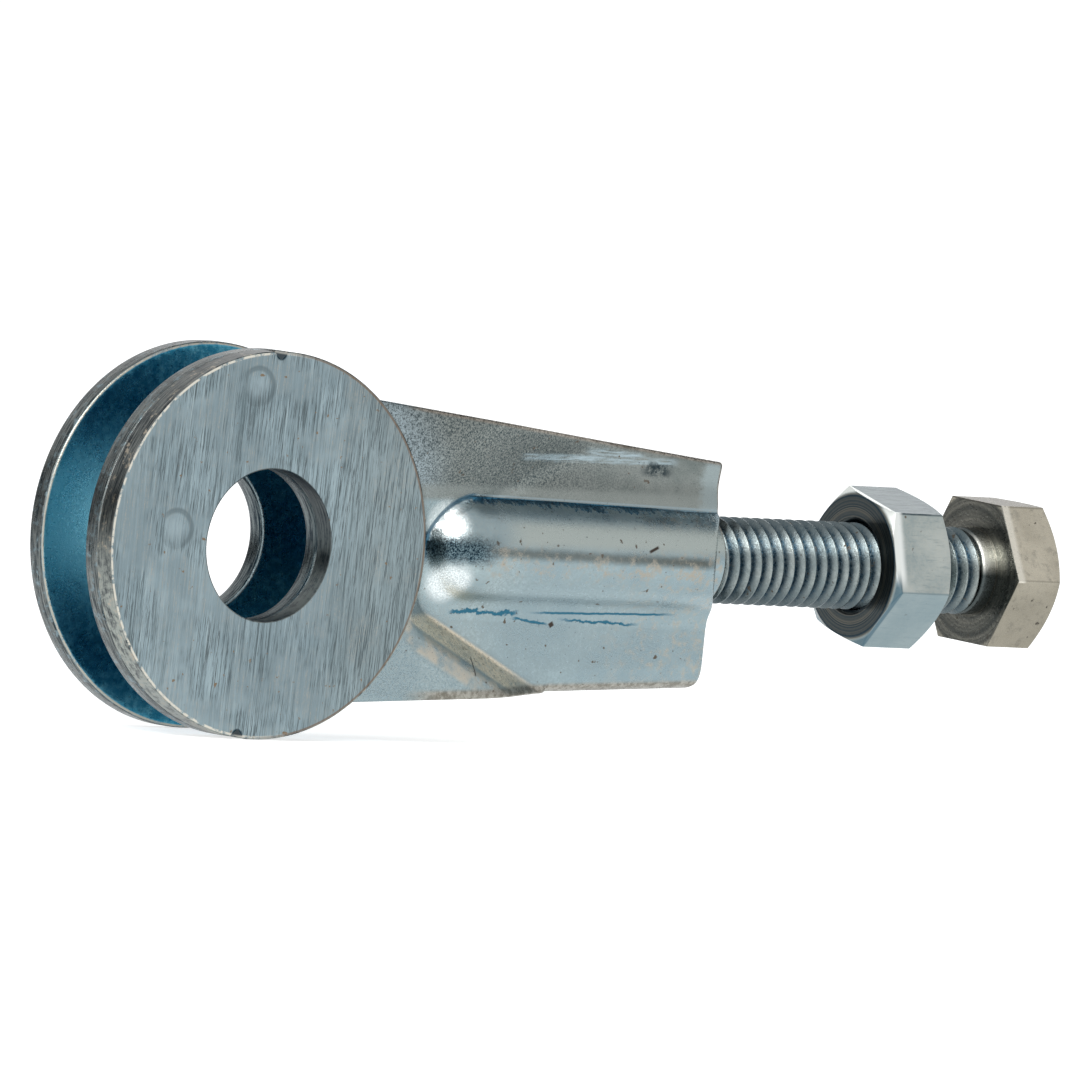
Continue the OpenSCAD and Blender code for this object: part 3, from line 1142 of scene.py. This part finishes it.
# %% A finish to start from
class Finish(Masks):
    """A plated metal with its place in millimetres and the shared patterns at hand."""

    def __init__(self, name, grain_scale, speck_scale):
        self.material = bpy.data.materials.new(name)
        self.material.use_nodes = True
        super().__init__(self.material.node_tree)
        self.shader = self.tree.nodes["Principled BSDF"]
        self.shader.inputs["Metallic"].default_value = 1
        scale = self.add("VectorMath", operation="SCALE")
        self.wire(scale.inputs[0], self.add("TexCoord").outputs["Object"])
        scale.inputs["Scale"].default_value = 1 / MM
        self.place = scale.outputs[0]
        split = self.add("SeparateXYZ")
        self.wire(split.inputs[0], self.place)
        self.x, self.y, self.z = split.outputs
        scales = {"Grain Scale": grain_scale, "Speck Scale": speck_scale}
        self.blotch, self.grain, self.specks = self.shared(plating, scales)

    def shared(self, group, values):
        """Places a shared pattern in this material with its own values."""
        node = self.add("Group", node_tree=group)
        self.wire(node.inputs["Place"], self.place)
        for name, value in values.items():
            self.wire(node.inputs[name], value)
        return node.outputs

    def lay(self, colour, *masks):
        """Lays a colour over what is there, where all masks are 1; a number thins it."""
        self.colour = self.mix(self.both(*masks), self.colour, colour)

    def away(self, x, z):
        """Distance from a point, seen from the side."""
        return self.radius(self.maths("SUBTRACT", self.x, x), self.maths("SUBTRACT", self.z, z))

    def across(self, start, end):
        """Distances along and across a straight line in X and Z."""
        length = math.dist(start, end)
        c, s = (end[0] - start[0]) / length, (end[1] - start[1]) / length
        out = []
        for a, b in ((c, s), (-s, c)):
            part = self.maths("MULTIPLY_ADD", self.x, a, -(start[0] * a + start[1] * b))
            out.append(self.maths("MULTIPLY_ADD", self.z, b, part))
        return out[0], out[1], length

    def stroke(self, start, end, half, soft=0.1, wobble=0.0, ends=0.8):
        """A mark along a line: 1 on it, 0 beside it, with an edge that can wander."""
        along, side, length = self.across(start, end)
        if wobble:
            wander = self.noise(self.place, 1.1, detail=4.0, rough=0.7)
            side = self.maths("ADD", side, self.spread(wander, -wobble, wobble))
        inside = self.both(self.step(along, 0.0, ends), self.step(along, length, length - ends))
        return self.both(self.band(side, 0.0, half, soft), inside)

    def flat(self, turn_deg):
        """1 on the hexagon's flat that faces this far from +Y towards +Z."""
        angle = math.radians(turn_deg)
        out = self.maths("MULTIPLY_ADD", self.y, math.cos(angle),
                         self.maths("MULTIPLY", self.z, math.sin(angle)))
        return self.step(out, across_flats / 2 - 0.2, across_flats / 2 - 0.08)

    def dress(self, roughness, height, depth):
        """Plugs the colour, the roughness and the relief into the shader; depth is in millimetres."""
        bump = self.add("Bump")
        bump.inputs["Strength"].default_value = 1.0
        bump.inputs["Distance"].default_value = depth * MM
        self.wire(bump.inputs["Height"], height)
        self.wire(self.shader.inputs["Base Color"], self.colour)
        self.wire(self.shader.inputs["Roughness"], roughness)
        self.wire(self.shader.inputs["Normal"], bump.outputs[0])
        return self.material


print("a finish can lay colours, draw strokes and find the flats of a hexagon")

# %% [markdown]
# The bracket carries the story of the press. Below the bead the zinc is even and pale blue. Above it
# the sheet was stretched and has the grain of orange peel, and it is painted darker as a painted
# reflection, with a painted sheen beside the crease and at the arm's end. Along the upper crease
# hang teeth of painted shade in deep blue, and the lower crease has thin scratches. A worn tan band
# crosses the slanted bend, and inside the slot the coat is a deep teal, partly with painted shade.

# %% Zinc on the pressed sheet: the large areas
sheet = Finish("zinc_sheet", grain_scale=3.6, speck_scale=1.5)
front = sheet.step(sheet.y, 0.5, -0.5)
from_axle = sheet.radius(sheet.x, sheet.z)
patches = sheet.noise(sheet.place, 1.3, detail=6.0, rough=0.7)
pale = sheet.mix(sheet.blotch, paint(132, 150, 156), paint(156, 172, 175))
pale = sheet.mix(sheet.both(sheet.grain, sheet.step(sheet.x, 62, 30)), pale, paint(142, 155, 157))
pale = sheet.mix(sheet.both(sheet.step(sheet.x, 26, 32), 0.45), pale, paint(128, 146, 153))
rust_tint = sheet.both(sheet.step(patches, 0.46, 0.7), sheet.step(sheet.x, 38, 50),
                       sheet.step(sheet.z, -12.5, -10.0))
pale = sheet.mix(sheet.both(rust_tint, 0.7), pale, paint(164, 158, 145))
coarse = sheet.noise(sheet.place, 6.5, detail=4.0, rough=0.75)
peel = sheet.step(coarse, 0.34, 0.66)
dark = sheet.mix(peel, paint(50, 62, 66), paint(134, 139, 135))
near_washer = sheet.step(from_axle, 24.0, 17.5)
dark = sheet.mix(sheet.both(near_washer, peel), dark, paint(148, 164, 172))
# Painted shade: the upper leaf is a darker grey, a painted reflection of a dark room, over a grain of
# orange peel.
upper_tone_and_shade = sheet.mix(sheet.blotch, paint(104, 111, 109), paint(128, 133, 130))
upper_tone_and_shade = sheet.mix(sheet.both(sheet.step(coarse, 0.5, 0.34), 0.35), upper_tone_and_shade, paint(62, 70, 72))
upper = sheet.mix(sheet.step(sheet.x, 50, 30), upper_tone_and_shade, dark)
# Painted sheen: a lighter band on the upper leaf beside the crease.
crease_sheen_band = sheet.both(sheet.band(sheet.z, 5.2, 0.3, 0.9), 0.7)
upper = sheet.mix(crease_sheen_band, upper, paint(136, 142, 139))
# Painted sheen: a lighter strip at the arm's end of the upper leaf.
end_sheen_strip = sheet.step(sheet.maths("ADD", sheet.x, sheet.spread(patches, -1.2, 1.2)), 51.6, 52.8)
upper = sheet.mix(end_sheen_strip, upper, paint(136, 147, 148))
past_ear = sheet.step(from_axle, 16.6, 18.0)
sheet.colour = sheet.mix(sheet.both(sheet.step(sheet.z, 4.3, 4.9), past_ear), pale, upper)
print("bracket nodes so far:", len(sheet.tree.nodes))

# %% [markdown]
# Over these areas lie a painted highlight on the bead's upper half and a painted dark reflection along
# the bead's crown, and the marks of making and use: the brown band beside the slanted bend, a worn
# edge along the fold, pale streaks on the upper leaf where something rubbed, and a dark streak. Each
# one is a stroke or a band, broken up by a noise so that it isn't too even.

# %% Zinc on the pressed sheet: painted light on the bead, and the marks of the tools
# Painted reflection: a dark line along the bead's crown. Painted highlight: a lighter band over the
# bead's upper half.
bead_dark_reflection = sheet.stroke((25, 0.15), (53.5, -0.1), 0.05, 0.75, wobble=0.15, ends=3.0)
sheet.lay(paint(160, 169, 166), sheet.band(sheet.z, 1.9, 0.5, 1.2), sheet.step(sheet.x, 27, 31), front)
reflection_share = sheet.spread(sheet.step(sheet.x, 38, 53), 0.8, 1.0)
sheet.lay(paint(88, 93, 90), bead_dark_reflection, reflection_share, front)
mottle = sheet.both(sheet.step(patches, 0.46, 0.72), sheet.stroke((26, -0.7), (54, -1.0), 0.6, 1.6))
sheet.lay(paint(154, 149, 138), mottle)
slant_start = (joggle_x, -joggle_half_h)
slant_end = (joggle_x + 20 * math.cos(joggle_slant), -joggle_half_h - 20 * math.sin(joggle_slant))
past_lower = sheet.across(slant_start, slant_end)[1]
below = sheet.step(sheet.z, -5.6, -6.4)
tan = sheet.both(sheet.band(past_lower, 3.5, 0.85, 0.4), below, sheet.step(sheet.x, 39, 29),
                 sheet.spread(sheet.step(patches, 0.36, 0.56), 0.65, 1.0))
light_tan = sheet.both(sheet.band(past_lower, 1.3, 0.8, 0.5), below,
                       sheet.step(sheet.noise(sheet.place, 0.5, detail=4.0), 0.4, 0.6))
tan_colour = sheet.mix(sheet.grain, paint(208, 194, 170), paint(238, 226, 204))
tan_colour = sheet.mix(sheet.step(patches, 0.6, 0.7), tan_colour, paint(132, 126, 112))
peel_low = sheet.both(sheet.step(coarse, 0.52, 0.38), sheet.step(past_lower, 1.6, 0.4),
                      sheet.step(sheet.z, -4.0, -6.0))
sheet.lay(paint(96, 116, 126), peel_low, 0.5)
sheet.lay(paint(176, 173, 162), light_tan)
sheet.lay(tan_colour, tan)
fold_edge = sheet.both(sheet.stroke((17, -13.8), (arm_end + 5, -11.65), 0.7, 0.5, ends=5.0), front)
fold_colour = sheet.mix(sheet.step(patches, 0.4, 0.62), paint(114, 111, 102), paint(156, 154, 146))
sheet.lay(fold_colour, fold_edge)
rubbed = sheet.noise(sheet.squeeze(sheet.place, (0.35, 1.0, 4.5)), 1.0, detail=4.0, rough=0.7)
streak = sheet.either(sheet.stroke((30.0, 8.8), (49.5, 8.8), 0.1, 0.42, wobble=0.2, ends=1.5),
                      sheet.stroke((38.0, 9.6), (46.0, 9.1), 0.1, 0.4, wobble=0.2, ends=2.0))
sheet.lay(paint(152, 168, 174), streak, sheet.step(rubbed, 0.34, 0.62))
# A dark streak on the upper leaf.
dark_streak = sheet.both(sheet.stroke((44.5, 8.1), (49.4, 8.0), 0.25, 0.6, wobble=0.6, ends=2.0),
                  sheet.step(patches, 0.36, 0.54))
sheet.lay(paint(46, 56, 60), dark_streak)
print("bracket nodes so far:", len(sheet.tree.nodes))

# %% [markdown]
# Along the upper crease hang small teeth of painted shade, beside a painted highlight on the crease's
# edge. They hang from a line, so we take the distance from that line and let a noise that is squeezed
# along it decide how far each tooth reaches. The scratches under the bead are thin strokes that
# wander. Along cut edges bare steel shows brown.

# %% Zinc on the pressed sheet: creases, scratches and edges
crease_start, crease_end = (24.8, 4.95), (arm_end, 4.42)
teeth = sheet.noise(sheet.squeeze(sheet.place, (1.5, 0.6, 0.4)), 1.0, detail=6.0, rough=0.95)
side = sheet.across(crease_start, crease_end)[1]
depth_of_teeth = sheet.spread(sheet.step(teeth, 0.38, 0.62), 0.1, 0.75)
low_side = sheet.step(sheet.maths("ADD", side, depth_of_teeth), -0.06, 0.06)
# Painted shade: dark blue teeth that hang from the upper crease.
crease_shade_teeth = sheet.both(low_side, sheet.step(side, 0.1, 0.0), sheet.step(sheet.x, 24.5, 26), front)
crease_shade_share = sheet.spread(sheet.step(sheet.x, 50, 44), 0.55, 1.0)
crease_shade_colour = sheet.mix(sheet.grain, paint(16, 52, 72), paint(58, 105, 128))
sheet.lay(crease_shade_colour, crease_shade_teeth, crease_shade_share)
# Painted highlight: a pale line along the upper crease.
edge_highlight = sheet.both(sheet.band(side, 0.2, 0.03, 0.1), sheet.step(sheet.x, 24.5, 26), front)
sheet.lay(paint(146, 164, 172), edge_highlight, 0.6)
scratches = sheet.either(sheet.stroke((24.3, -5.55), (32.5, -5.5), 0.12, 0.14, wobble=0.7),
                         sheet.stroke((33.0, -5.4), (50.5, -5.0), 0.05, 0.1, wobble=0.12, ends=3.0),
                         sheet.stroke((31.5, -5.9), (36.0, -6.4), 0.05, 0.1, wobble=0.3),
                         sheet.stroke((36.6, -5.9), (46.5, -6.1), 0.06, 0.12, wobble=0.4, ends=2.0))
sheet.lay(paint(52, 98, 118), scratches, front)
nicks = sheet.either(sheet.stroke((35.9, -6.6), (36.5, -6.2), 0.16, 0.12, ends=0.2),
                     sheet.stroke((44.3, 0.7), (45.6, 1.3), 0.07, 0.12, ends=0.3),
                     sheet.stroke((26.1, -11.3), (26.5, -9.4), 0.04, 0.07, ends=0.3))
sheet.lay(paint(66, 60, 56), nicks, front)
sheet.lay(paint(92, 86, 78), sheet.specks)
pricks = sheet.step(sheet.noise(sheet.place, 3.4, detail=2.0), 0.71, 0.76)
sheet.lay(paint(78, 84, 86), pricks)
seat = sheet.both(sheet.band(from_axle, ear_r, 0.1, 0.16), sheet.step(sheet.y, -5.1, -5.25))
sheet.lay(paint(104, 84, 68), seat)
top_gap = sheet.across((0, top_offset / math.cos(math.radians(top_taper))),
                       (arm_end, top_z(arm_end)))[1]
on_arm = sheet.step(sheet.x, 15.0, 18.0)
edge = sheet.either(sheet.both(sheet.step(top_gap, -0.5, -0.15), on_arm),
                    sheet.step(sheet.x, arm_end - 0.45, arm_end - 0.2))
sheet.lay(sheet.mix(sheet.grain, paint(92, 86, 78), paint(158, 152, 143)), edge)
print("bracket nodes so far:", len(sheet.tree.nodes))

# %% [markdown]
# The ears' rims carry the fine lines of a sheared edge, with a painted highlight just inside them. The
# slot between them is a deep teal, partly the coat's own tint and partly painted shade, with a painted
# pool of light on the inner faces away from the arm. The notches get painted shade and the bead's
# lower hollow a faint painted sheen. The dome mirrors the room: a bright spot above, one below and a
# dark shade between, and a painted shade line runs round its edge. Part of that contrast is painted,
# because our room is simpler than the photographer's. A smoother surface on the dome keeps its
# highlights crisp.

# %% Zinc on the pressed sheet: rims, slot and dome
on_ear = sheet.step(sheet.x, 10.0, 9.0)
rim = sheet.both(sheet.step(from_axle, ear_r - 0.12, ear_r - 0.04), on_ear)
# Painted highlight: a pale band just inside the ear's rim.
shine = sheet.both(sheet.band(from_axle, ear_r - 0.22, 0.07, 0.1), on_ear,
                   sheet.step(patches, 0.38, 0.5))
sheet.lay(paint(172, 168, 156), shine)
lines = sheet.shared(rim_lines, {"Squeeze": (0.4, 7.0, 0.4)})["Lines"]
rim_colour = sheet.mix(sheet.step(lines, 0.35, 0.65), paint(36, 46, 51), paint(116, 120, 118))
rim_colour = sheet.mix(sheet.step(patches, 0.5, 0.66), rim_colour, paint(112, 128, 134))
sheet.lay(rim_colour, rim)
deep = sheet.step(sheet.maths("ABSOLUTE", sheet.y), ear_in + 0.3, ear_in + 0.08)
inside_rim = sheet.either(sheet.step(from_axle, ear_r - 0.2, ear_r - 0.32),
                          sheet.step(sheet.x, 9.0, 10.0))
slot_mask = sheet.both(deep, sheet.step(sheet.x, 21.0, 19.0),
                       sheet.step(from_axle, ear_r + 0.9, ear_r + 0.7),
                       sheet.step(from_axle, bore_r + 0.3, bore_r + 0.42), inside_rim)
# The slot's teal is partly the coat's own tint and partly painted shade.
slot_teal_and_shade = sheet.mix(sheet.step(patches, 0.35, 0.7), paint(44, 118, 146), paint(98, 164, 184))
# Painted pool of light on the ears' inner faces, away from the arm.
slot_light_pool = sheet.both(sheet.step(sheet.x, -8.0, -15.0), sheet.band(sheet.z, 1.0, 4.0, 7.0))
slot_teal_and_shade = sheet.mix(sheet.both(slot_light_pool, 0.85), slot_teal_and_shade, paint(138, 204, 220))
hairs = sheet.add("TexVoronoi", feature="DISTANCE_TO_EDGE")
sheet.wire(hairs.inputs["Vector"], sheet.squeeze(sheet.place, (0.5, 0.5, 0.24), 30))
hair = sheet.both(sheet.step(hairs.outputs["Distance"], 0.014, 0.006), sheet.step(patches, 0.5, 0.6))
slot_teal_and_shade = sheet.mix(sheet.both(hair, 0.6), slot_teal_and_shade, paint(150, 190, 200))
sheet.lay(slot_teal_and_shade, slot_mask)
bore_wall = sheet.step(from_axle, bore_r + 0.2, bore_r + 0.08)
bore_colour = sheet.mix(sheet.step(lines, 0.4, 0.6), paint(24, 38, 46), paint(104, 112, 113))
sheet.lay(bore_colour, bore_wall)
# Painted shade in the notches.
for place in notch_places:
    away = sheet.away(*turned((ear_r, 0), place))
    sheet.lay(paint(20, 38, 46), sheet.step(away, 0.85, 0.7), front,
              sheet.step(from_axle, ear_r - 0.12, ear_r - 0.04))
glints = sheet.step(coarse, 0.42, 0.6)
# Painted sheen: a faint lighter band along the bead's lower hollow.
hollow = sheet.both(sheet.band(sheet.z, -3.7, 0.2, 0.8), sheet.step(sheet.x, 27, 30), front)
sheet.lay(paint(190, 208, 214), hollow, 0.12)
for x, z, size in ((23.4, -2.9, 2.3), (22.6, 2.7, 2.5)):
    away = sheet.away(x, z)
    spot = sheet.both(sheet.step(away, size, 0.4 * size), sheet.spread(glints, 0.5, 1.0), front)
    sheet.lay(paint(232, 238, 238), spot)
shade = sheet.both(sheet.stroke((17.4, 0.1), (28.4, 0.2), 0.4, 1.4, wobble=0.6, ends=3.2), front)
sheet.lay(sheet.mix(glints, paint(12, 34, 46), paint(104, 124, 131)), shade)
# Painted shade: a dark blue line round the dome's edge.
ring = sheet.away(dome_x, 0)
dome_groove_shade = sheet.both(sheet.band(ring, 5.05, 0.12, 0.25), sheet.step(sheet.x, 26.4, 25.4),
                       sheet.step(sheet.z, -2.0, 1.0), front)
sheet.lay(paint(40, 84, 106), dome_groove_shade, 0.8)
rough = sheet.spread(sheet.both(sheet.grain, sheet.blotch), 0.26, 0.42)
smooth_dome = sheet.step(sheet.away(dome_x - 2, 0), 3.0, 6.5)
rough = sheet.maths("MULTIPLY", rough, sheet.spread(smooth_dome, 0.6, 1.0))
height = sheet.maths("ADD", sheet.maths("MULTIPLY", coarse, 2.0),
                     sheet.maths("MULTIPLY", sheet.grain, 0.3))
height = sheet.maths("SUBTRACT", height, sheet.maths("MULTIPLY", sheet.either(crease_shade_teeth, scratches), 1.5))
bracket.data.materials.append(sheet.dress(rough, height, 0.011))
print("bracket nodes:", len(sheet.tree.nodes))

# %% [markdown]
# The washer was ground before it was plated. The wheel left upright streaks, a little slanted, that
# the zinc follows. Its rim is dark, with a painted highlight inside it on the left, a brown painted
# sheen on the right and painted light towards the bottom. The dimples get a painted shade on their
# upper right rims and a painted sheen inside, and the notches get painted shade.

# %% Ground zinc on the washer
ground = Finish("ground_zinc", grain_scale=5.0, speck_scale=1.4)
slow = ground.noise(ground.place, 0.09, detail=4.0, rough=0.6)
ground.colour = ground.mix(ground.step(slow, 0.38, 0.62), paint(122, 138, 144), paint(143, 160, 166))
streaks = ground.noise(ground.squeeze(ground.place, (4.2, 1.0, 0.12), -1), 1.0, detail=5.0, rough=0.7)
fine = ground.noise(ground.squeeze(ground.place, (9.0, 1.0, 0.28), -3), 1.0, detail=3.0, rough=0.8)
zone = ground.noise(ground.place, 0.17, detail=3.0)
streaky = ground.spread(ground.step(zone, 0.4, 0.58), 0.3, 0.85)
ground.lay(paint(96, 110, 114), ground.step(streaks, 0.5, 0.36), streaky)
ground.lay(paint(160, 176, 181), ground.step(streaks, 0.52, 0.68), streaky)
right = ground.step(ground.x, 5.0, 12.0)
ground.lay(paint(114, 124, 124), right, 0.4)
cuts = ground.both(ground.step(fine, 0.5, 0.6), ground.either(ground.step(zone, 0.38, 0.56), right))
ground.lay(paint(78, 86, 88), cuts, 0.85)
dust = ground.both(ground.grain, ground.step(fine, 0.5, 0.38), ground.step(zone, 0.55, 0.42))
ground.lay(paint(158, 154, 144), dust, 0.7)
for x, z in dimple_places:
    away = ground.away(x, z)
    # Painted shade on the dimple's upper right rim, and a painted sheen inside it.
    upper_side = ground.step(ground.maths("ADD", ground.z, ground.x), z + x - 1.5, z + x + 1.0)
    dimple_rim_shade = ground.both(ground.band(away, 1.7, 0.08, 0.3), upper_side)
    ground.lay(paint(92, 104, 108), dimple_rim_shade, 0.7)
    ground.lay(paint(158, 174, 180), ground.step(away, 1.5, 0.4), 0.4)
ground.lay(paint(118, 104, 88), ground.specks)
from_axle = ground.radius(ground.x, ground.z)
wear_and_sheen_noise = ground.noise(ground.place, 1.1, detail=4.0, rough=0.7)
# Painted highlight: a bright line inside the rim on the left.
left_rim_highlight = ground.both(ground.band(from_axle, ear_r - 0.2, 0.06, 0.1), ground.step(wear_and_sheen_noise, 0.4, 0.52))
left = ground.step(ground.x, 6.0, -4.0)
ground.lay(paint(206, 202, 190), left_rim_highlight, left)
# Painted sheen: a brown line inside the rim on the right.
right_edge_sheen = ground.both(ground.step(from_axle, ear_r - 0.3, ear_r - 0.2), ground.step(ground.x, -2.0, 6.0))
ground.lay(paint(112, 94, 78), right_edge_sheen, 0.75)
rim = ground.either(ground.step(from_axle, ear_r - 0.12, ear_r - 0.05),
                    ground.step(from_axle, bore_r + 0.12, bore_r + 0.05))
lines = ground.shared(rim_lines, {"Squeeze": (0.35, 7.0, 0.35)})["Lines"]
rim_colour = ground.mix(ground.step(lines, 0.35, 0.65), paint(26, 36, 42), paint(110, 114, 112))
# Painted light: the rim is lighter towards the bottom.
lower_rim_light = ground.both(ground.step(ground.z, 5.0, -8.0), ground.step(wear_and_sheen_noise, 0.36, 0.56))
rim_colour = ground.mix(ground.both(lower_rim_light, 0.8), rim_colour, paint(150, 156, 150))
outer = ground.step(from_axle, 9.0, 10.0)
rim_colour = ground.mix(ground.both(ground.step(wear_and_sheen_noise, 0.55, 0.68), outer), rim_colour,
                        paint(156, 148, 134))
inner = ground.step(from_axle, 9.0, 8.0)
rim_colour = ground.mix(ground.both(inner, 0.5), rim_colour, paint(26, 42, 50))
ground.lay(rim_colour, rim)
# Painted shade in the notches.
for place in notch_places:
    away = ground.away(*turned((ear_r - 0.2, 0), place))
    ground.lay(paint(34, 52, 60), ground.step(away, 0.7, 0.5))
rough = ground.spread(streaks, 0.22, 0.5)
height = ground.maths("ADD", streaks, ground.maths("MULTIPLY", fine, 0.5))
washer.data.materials.append(ground.dress(rough, height, 0.012))
print("washer nodes:", len(ground.tree.nodes))

# %% [markdown]
# The lock nut is the brightest piece, with faint drawing marks on its flats and turned rings on its
# near face. Its top flat and its lower front flat are painted darker as painted reflections, and a
# glint lies on the flat beside the top one. The near face and the hole get painted shade, and the
# chamfer a painted highlight above and painted shade below.

# %% Bright zinc on the nut
bright = Finish("nut_zinc", grain_scale=4.0, speck_scale=1.2)
bright.colour = bright.mix(bright.blotch, paint(142, 154, 155), paint(172, 179, 176))
drawn = bright.noise(bright.squeeze(bright.place, (0.5, 4.0, 4.0)), 1.0, detail=4.0, rough=0.7)
bright.lay(paint(122, 136, 139), bright.step(drawn, 0.52, 0.7), 0.6)
bright.lay(paint(186, 184, 172), bright.grain, 0.25)
bright.lay(paint(104, 98, 90), bright.specks)
from_screw = bright.radius(bright.y, bright.z)
# Painted reflection: the top flat is darker, and the lower front flat below is darker too.
top_flat_shade = bright.mix(bright.step(drawn, 0.4, 0.6), paint(66, 78, 83), paint(108, 118, 120))
bright.lay(top_flat_shade, bright.flat(nut_turn + 60))
bright.lay(paint(112, 132, 139), bright.flat(nut_turn + 180), 0.7)
glint = bright.both(bright.step(bright.x, nut_low.x + 1.5, nut_low.x + 0.8),
                    bright.flat(nut_turn + 120), bright.step(bright.z, -2.0, 0.0))
bright.lay(paint(226, 230, 228), glint)
turned_lines = bright.shared(turned_rings, {"Scale": 2.6})["Rings"]
near_face = bright.step(bright.x, nut_low.x + 0.2, nut_low.x + 0.05)
# Turned rings, with painted shade that darkens the near face.
rings_and_shade_colour = bright.mix(bright.step(turned_lines, 0.4, 0.62), paint(40, 58, 68), paint(104, 102, 94))
bright.lay(rings_and_shade_colour, near_face)
cone = bright.both(bright.step(bright.x, nut_low.x + 0.1, nut_low.x + 0.25),
                   bright.step(bright.x, nut_low.x + 0.75, nut_low.x + 0.55),
                   bright.step(from_screw, 6.3, 6.5))
# The chamfer has a painted highlight above and painted shade below.
chamfer_light_and_shade = bright.mix(bright.step(bright.z, -1.5, 0.5), paint(74, 100, 112), paint(226, 230, 226))
bright.lay(chamfer_light_and_shade, cone, 0.85)
# Painted shade round the hole.
hole_shade = bright.step(from_screw, way_r + 0.5, way_r + 0.1)
bright.lay(paint(36, 58, 70), hole_shade)
rough = bright.spread(drawn, 0.2, 0.44)
nut.data.materials.append(bright.dress(rough, drawn, 0.01))
print("nut nodes:", len(bright.tree.nodes))

# %% [markdown]
# The screw has the same zinc on its thread, bright on the crests, with painted shade in deep blue in
# the roots and painted darker reflections along its top and bottom. We tell crest from root by the
# distance from the axis. Its head is a warmer grey with scale marks in it, painted darker below, and
# every flat of the head has its own tone, as each one mirrors another part of the room. Painted
# highlights lie on the head's edge and across the plain neck, and painted shade on its near face.

# %% Zinc and warm grey on the screw
steel = Finish("screw_zinc", grain_scale=3.2, speck_scale=1.3)
from_screw = steel.radius(steel.y, steel.z)
crest = steel.step(from_screw, root_r + 0.1, screw_r - 0.05)
crests = steel.mix(steel.blotch, paint(116, 128, 130), paint(150, 157, 155))
# Painted shade in the thread's roots.
thread = steel.mix(crest, paint(26, 50, 64), crests)
# Painted reflection: the thread is darker along its top and bottom.
lit = steel.step(steel.maths("ABSOLUTE", steel.z), 4.4, 1.2)
thread = steel.mix(steel.spread(lit, 0.75, 0.0), thread, paint(22, 48, 61))
thread = steel.mix(steel.both(steel.grain, 0.4), thread, paint(104, 112, 112))
warm = steel.mix(steel.blotch, paint(150, 143, 127), paint(184, 177, 160))
# Painted shade: the head is darker below.
warm = steel.mix(steel.both(steel.step(steel.z, 0.5, -3.0), 0.6), warm, paint(132, 128, 116))
scale_marks = steel.step(steel.noise(steel.place, 1.0, detail=5.0, rough=0.7), 0.5, 0.68)
warm = steel.mix(steel.both(scale_marks, 0.7), warm, paint(98, 95, 88))
warm = steel.mix(steel.both(steel.grain, 0.3), warm, paint(176, 172, 160))
near_face = steel.both(steel.step(steel.x, head_x + 0.1, head_x + 0.03),
                       steel.step(from_screw, 7.2, 6.9))
rings = steel.shared(turned_rings, {"Scale": 1.8})["Rings"]
# Turned rings, with painted shade that darkens the near face.
warm = steel.mix(steel.both(near_face, 0.85), warm,
                 steel.mix(steel.step(rings, 0.4, 0.62), paint(48, 50, 48), paint(108, 106, 98)))
warm = steel.mix(steel.both(steel.flat(head_turn + 60), 0.85), warm, paint(88, 83, 73))
warm = steel.mix(steel.both(steel.flat(head_turn + 120), 0.4), warm, paint(182, 177, 163))
warm = steel.mix(steel.both(steel.flat(head_turn + 180), 0.5), warm, paint(124, 120, 109))
# Painted highlight along the head's edge.
edge_highlight = steel.both(steel.step(steel.x, head_x + 1.0, head_x + 0.5), steel.flat(head_turn + 120))
warm = steel.mix(steel.both(edge_highlight, 0.85), warm, paint(212, 208, 196))
# Painted highlight across the plain neck.
neck = steel.both(steel.step(steel.x, head_x - plain_l - 0.2, head_x - plain_l),
                  steel.step(from_screw, 4.3, 4.1))
neck_highlight_colour = steel.mix(steel.band(steel.z, 1.8, 0.7, 1.3), paint(74, 80, 80), paint(222, 222, 214))
thread = steel.mix(neck, thread, neck_highlight_colour)
steel.colour = steel.mix(steel.step(steel.x, head_x - 0.05, head_x + 0.02), thread, warm)
steel.lay(paint(76, 72, 66), steel.specks)
rough = steel.spread(steel.grain, 0.24, 0.4)
height = steel.maths("ADD", steel.grain, scale_marks)
screw.data.materials.append(steel.dress(rough, height, 0.008))
print("screw nodes:", len(steel.tree.nodes))

# %% [markdown] The script ends here.
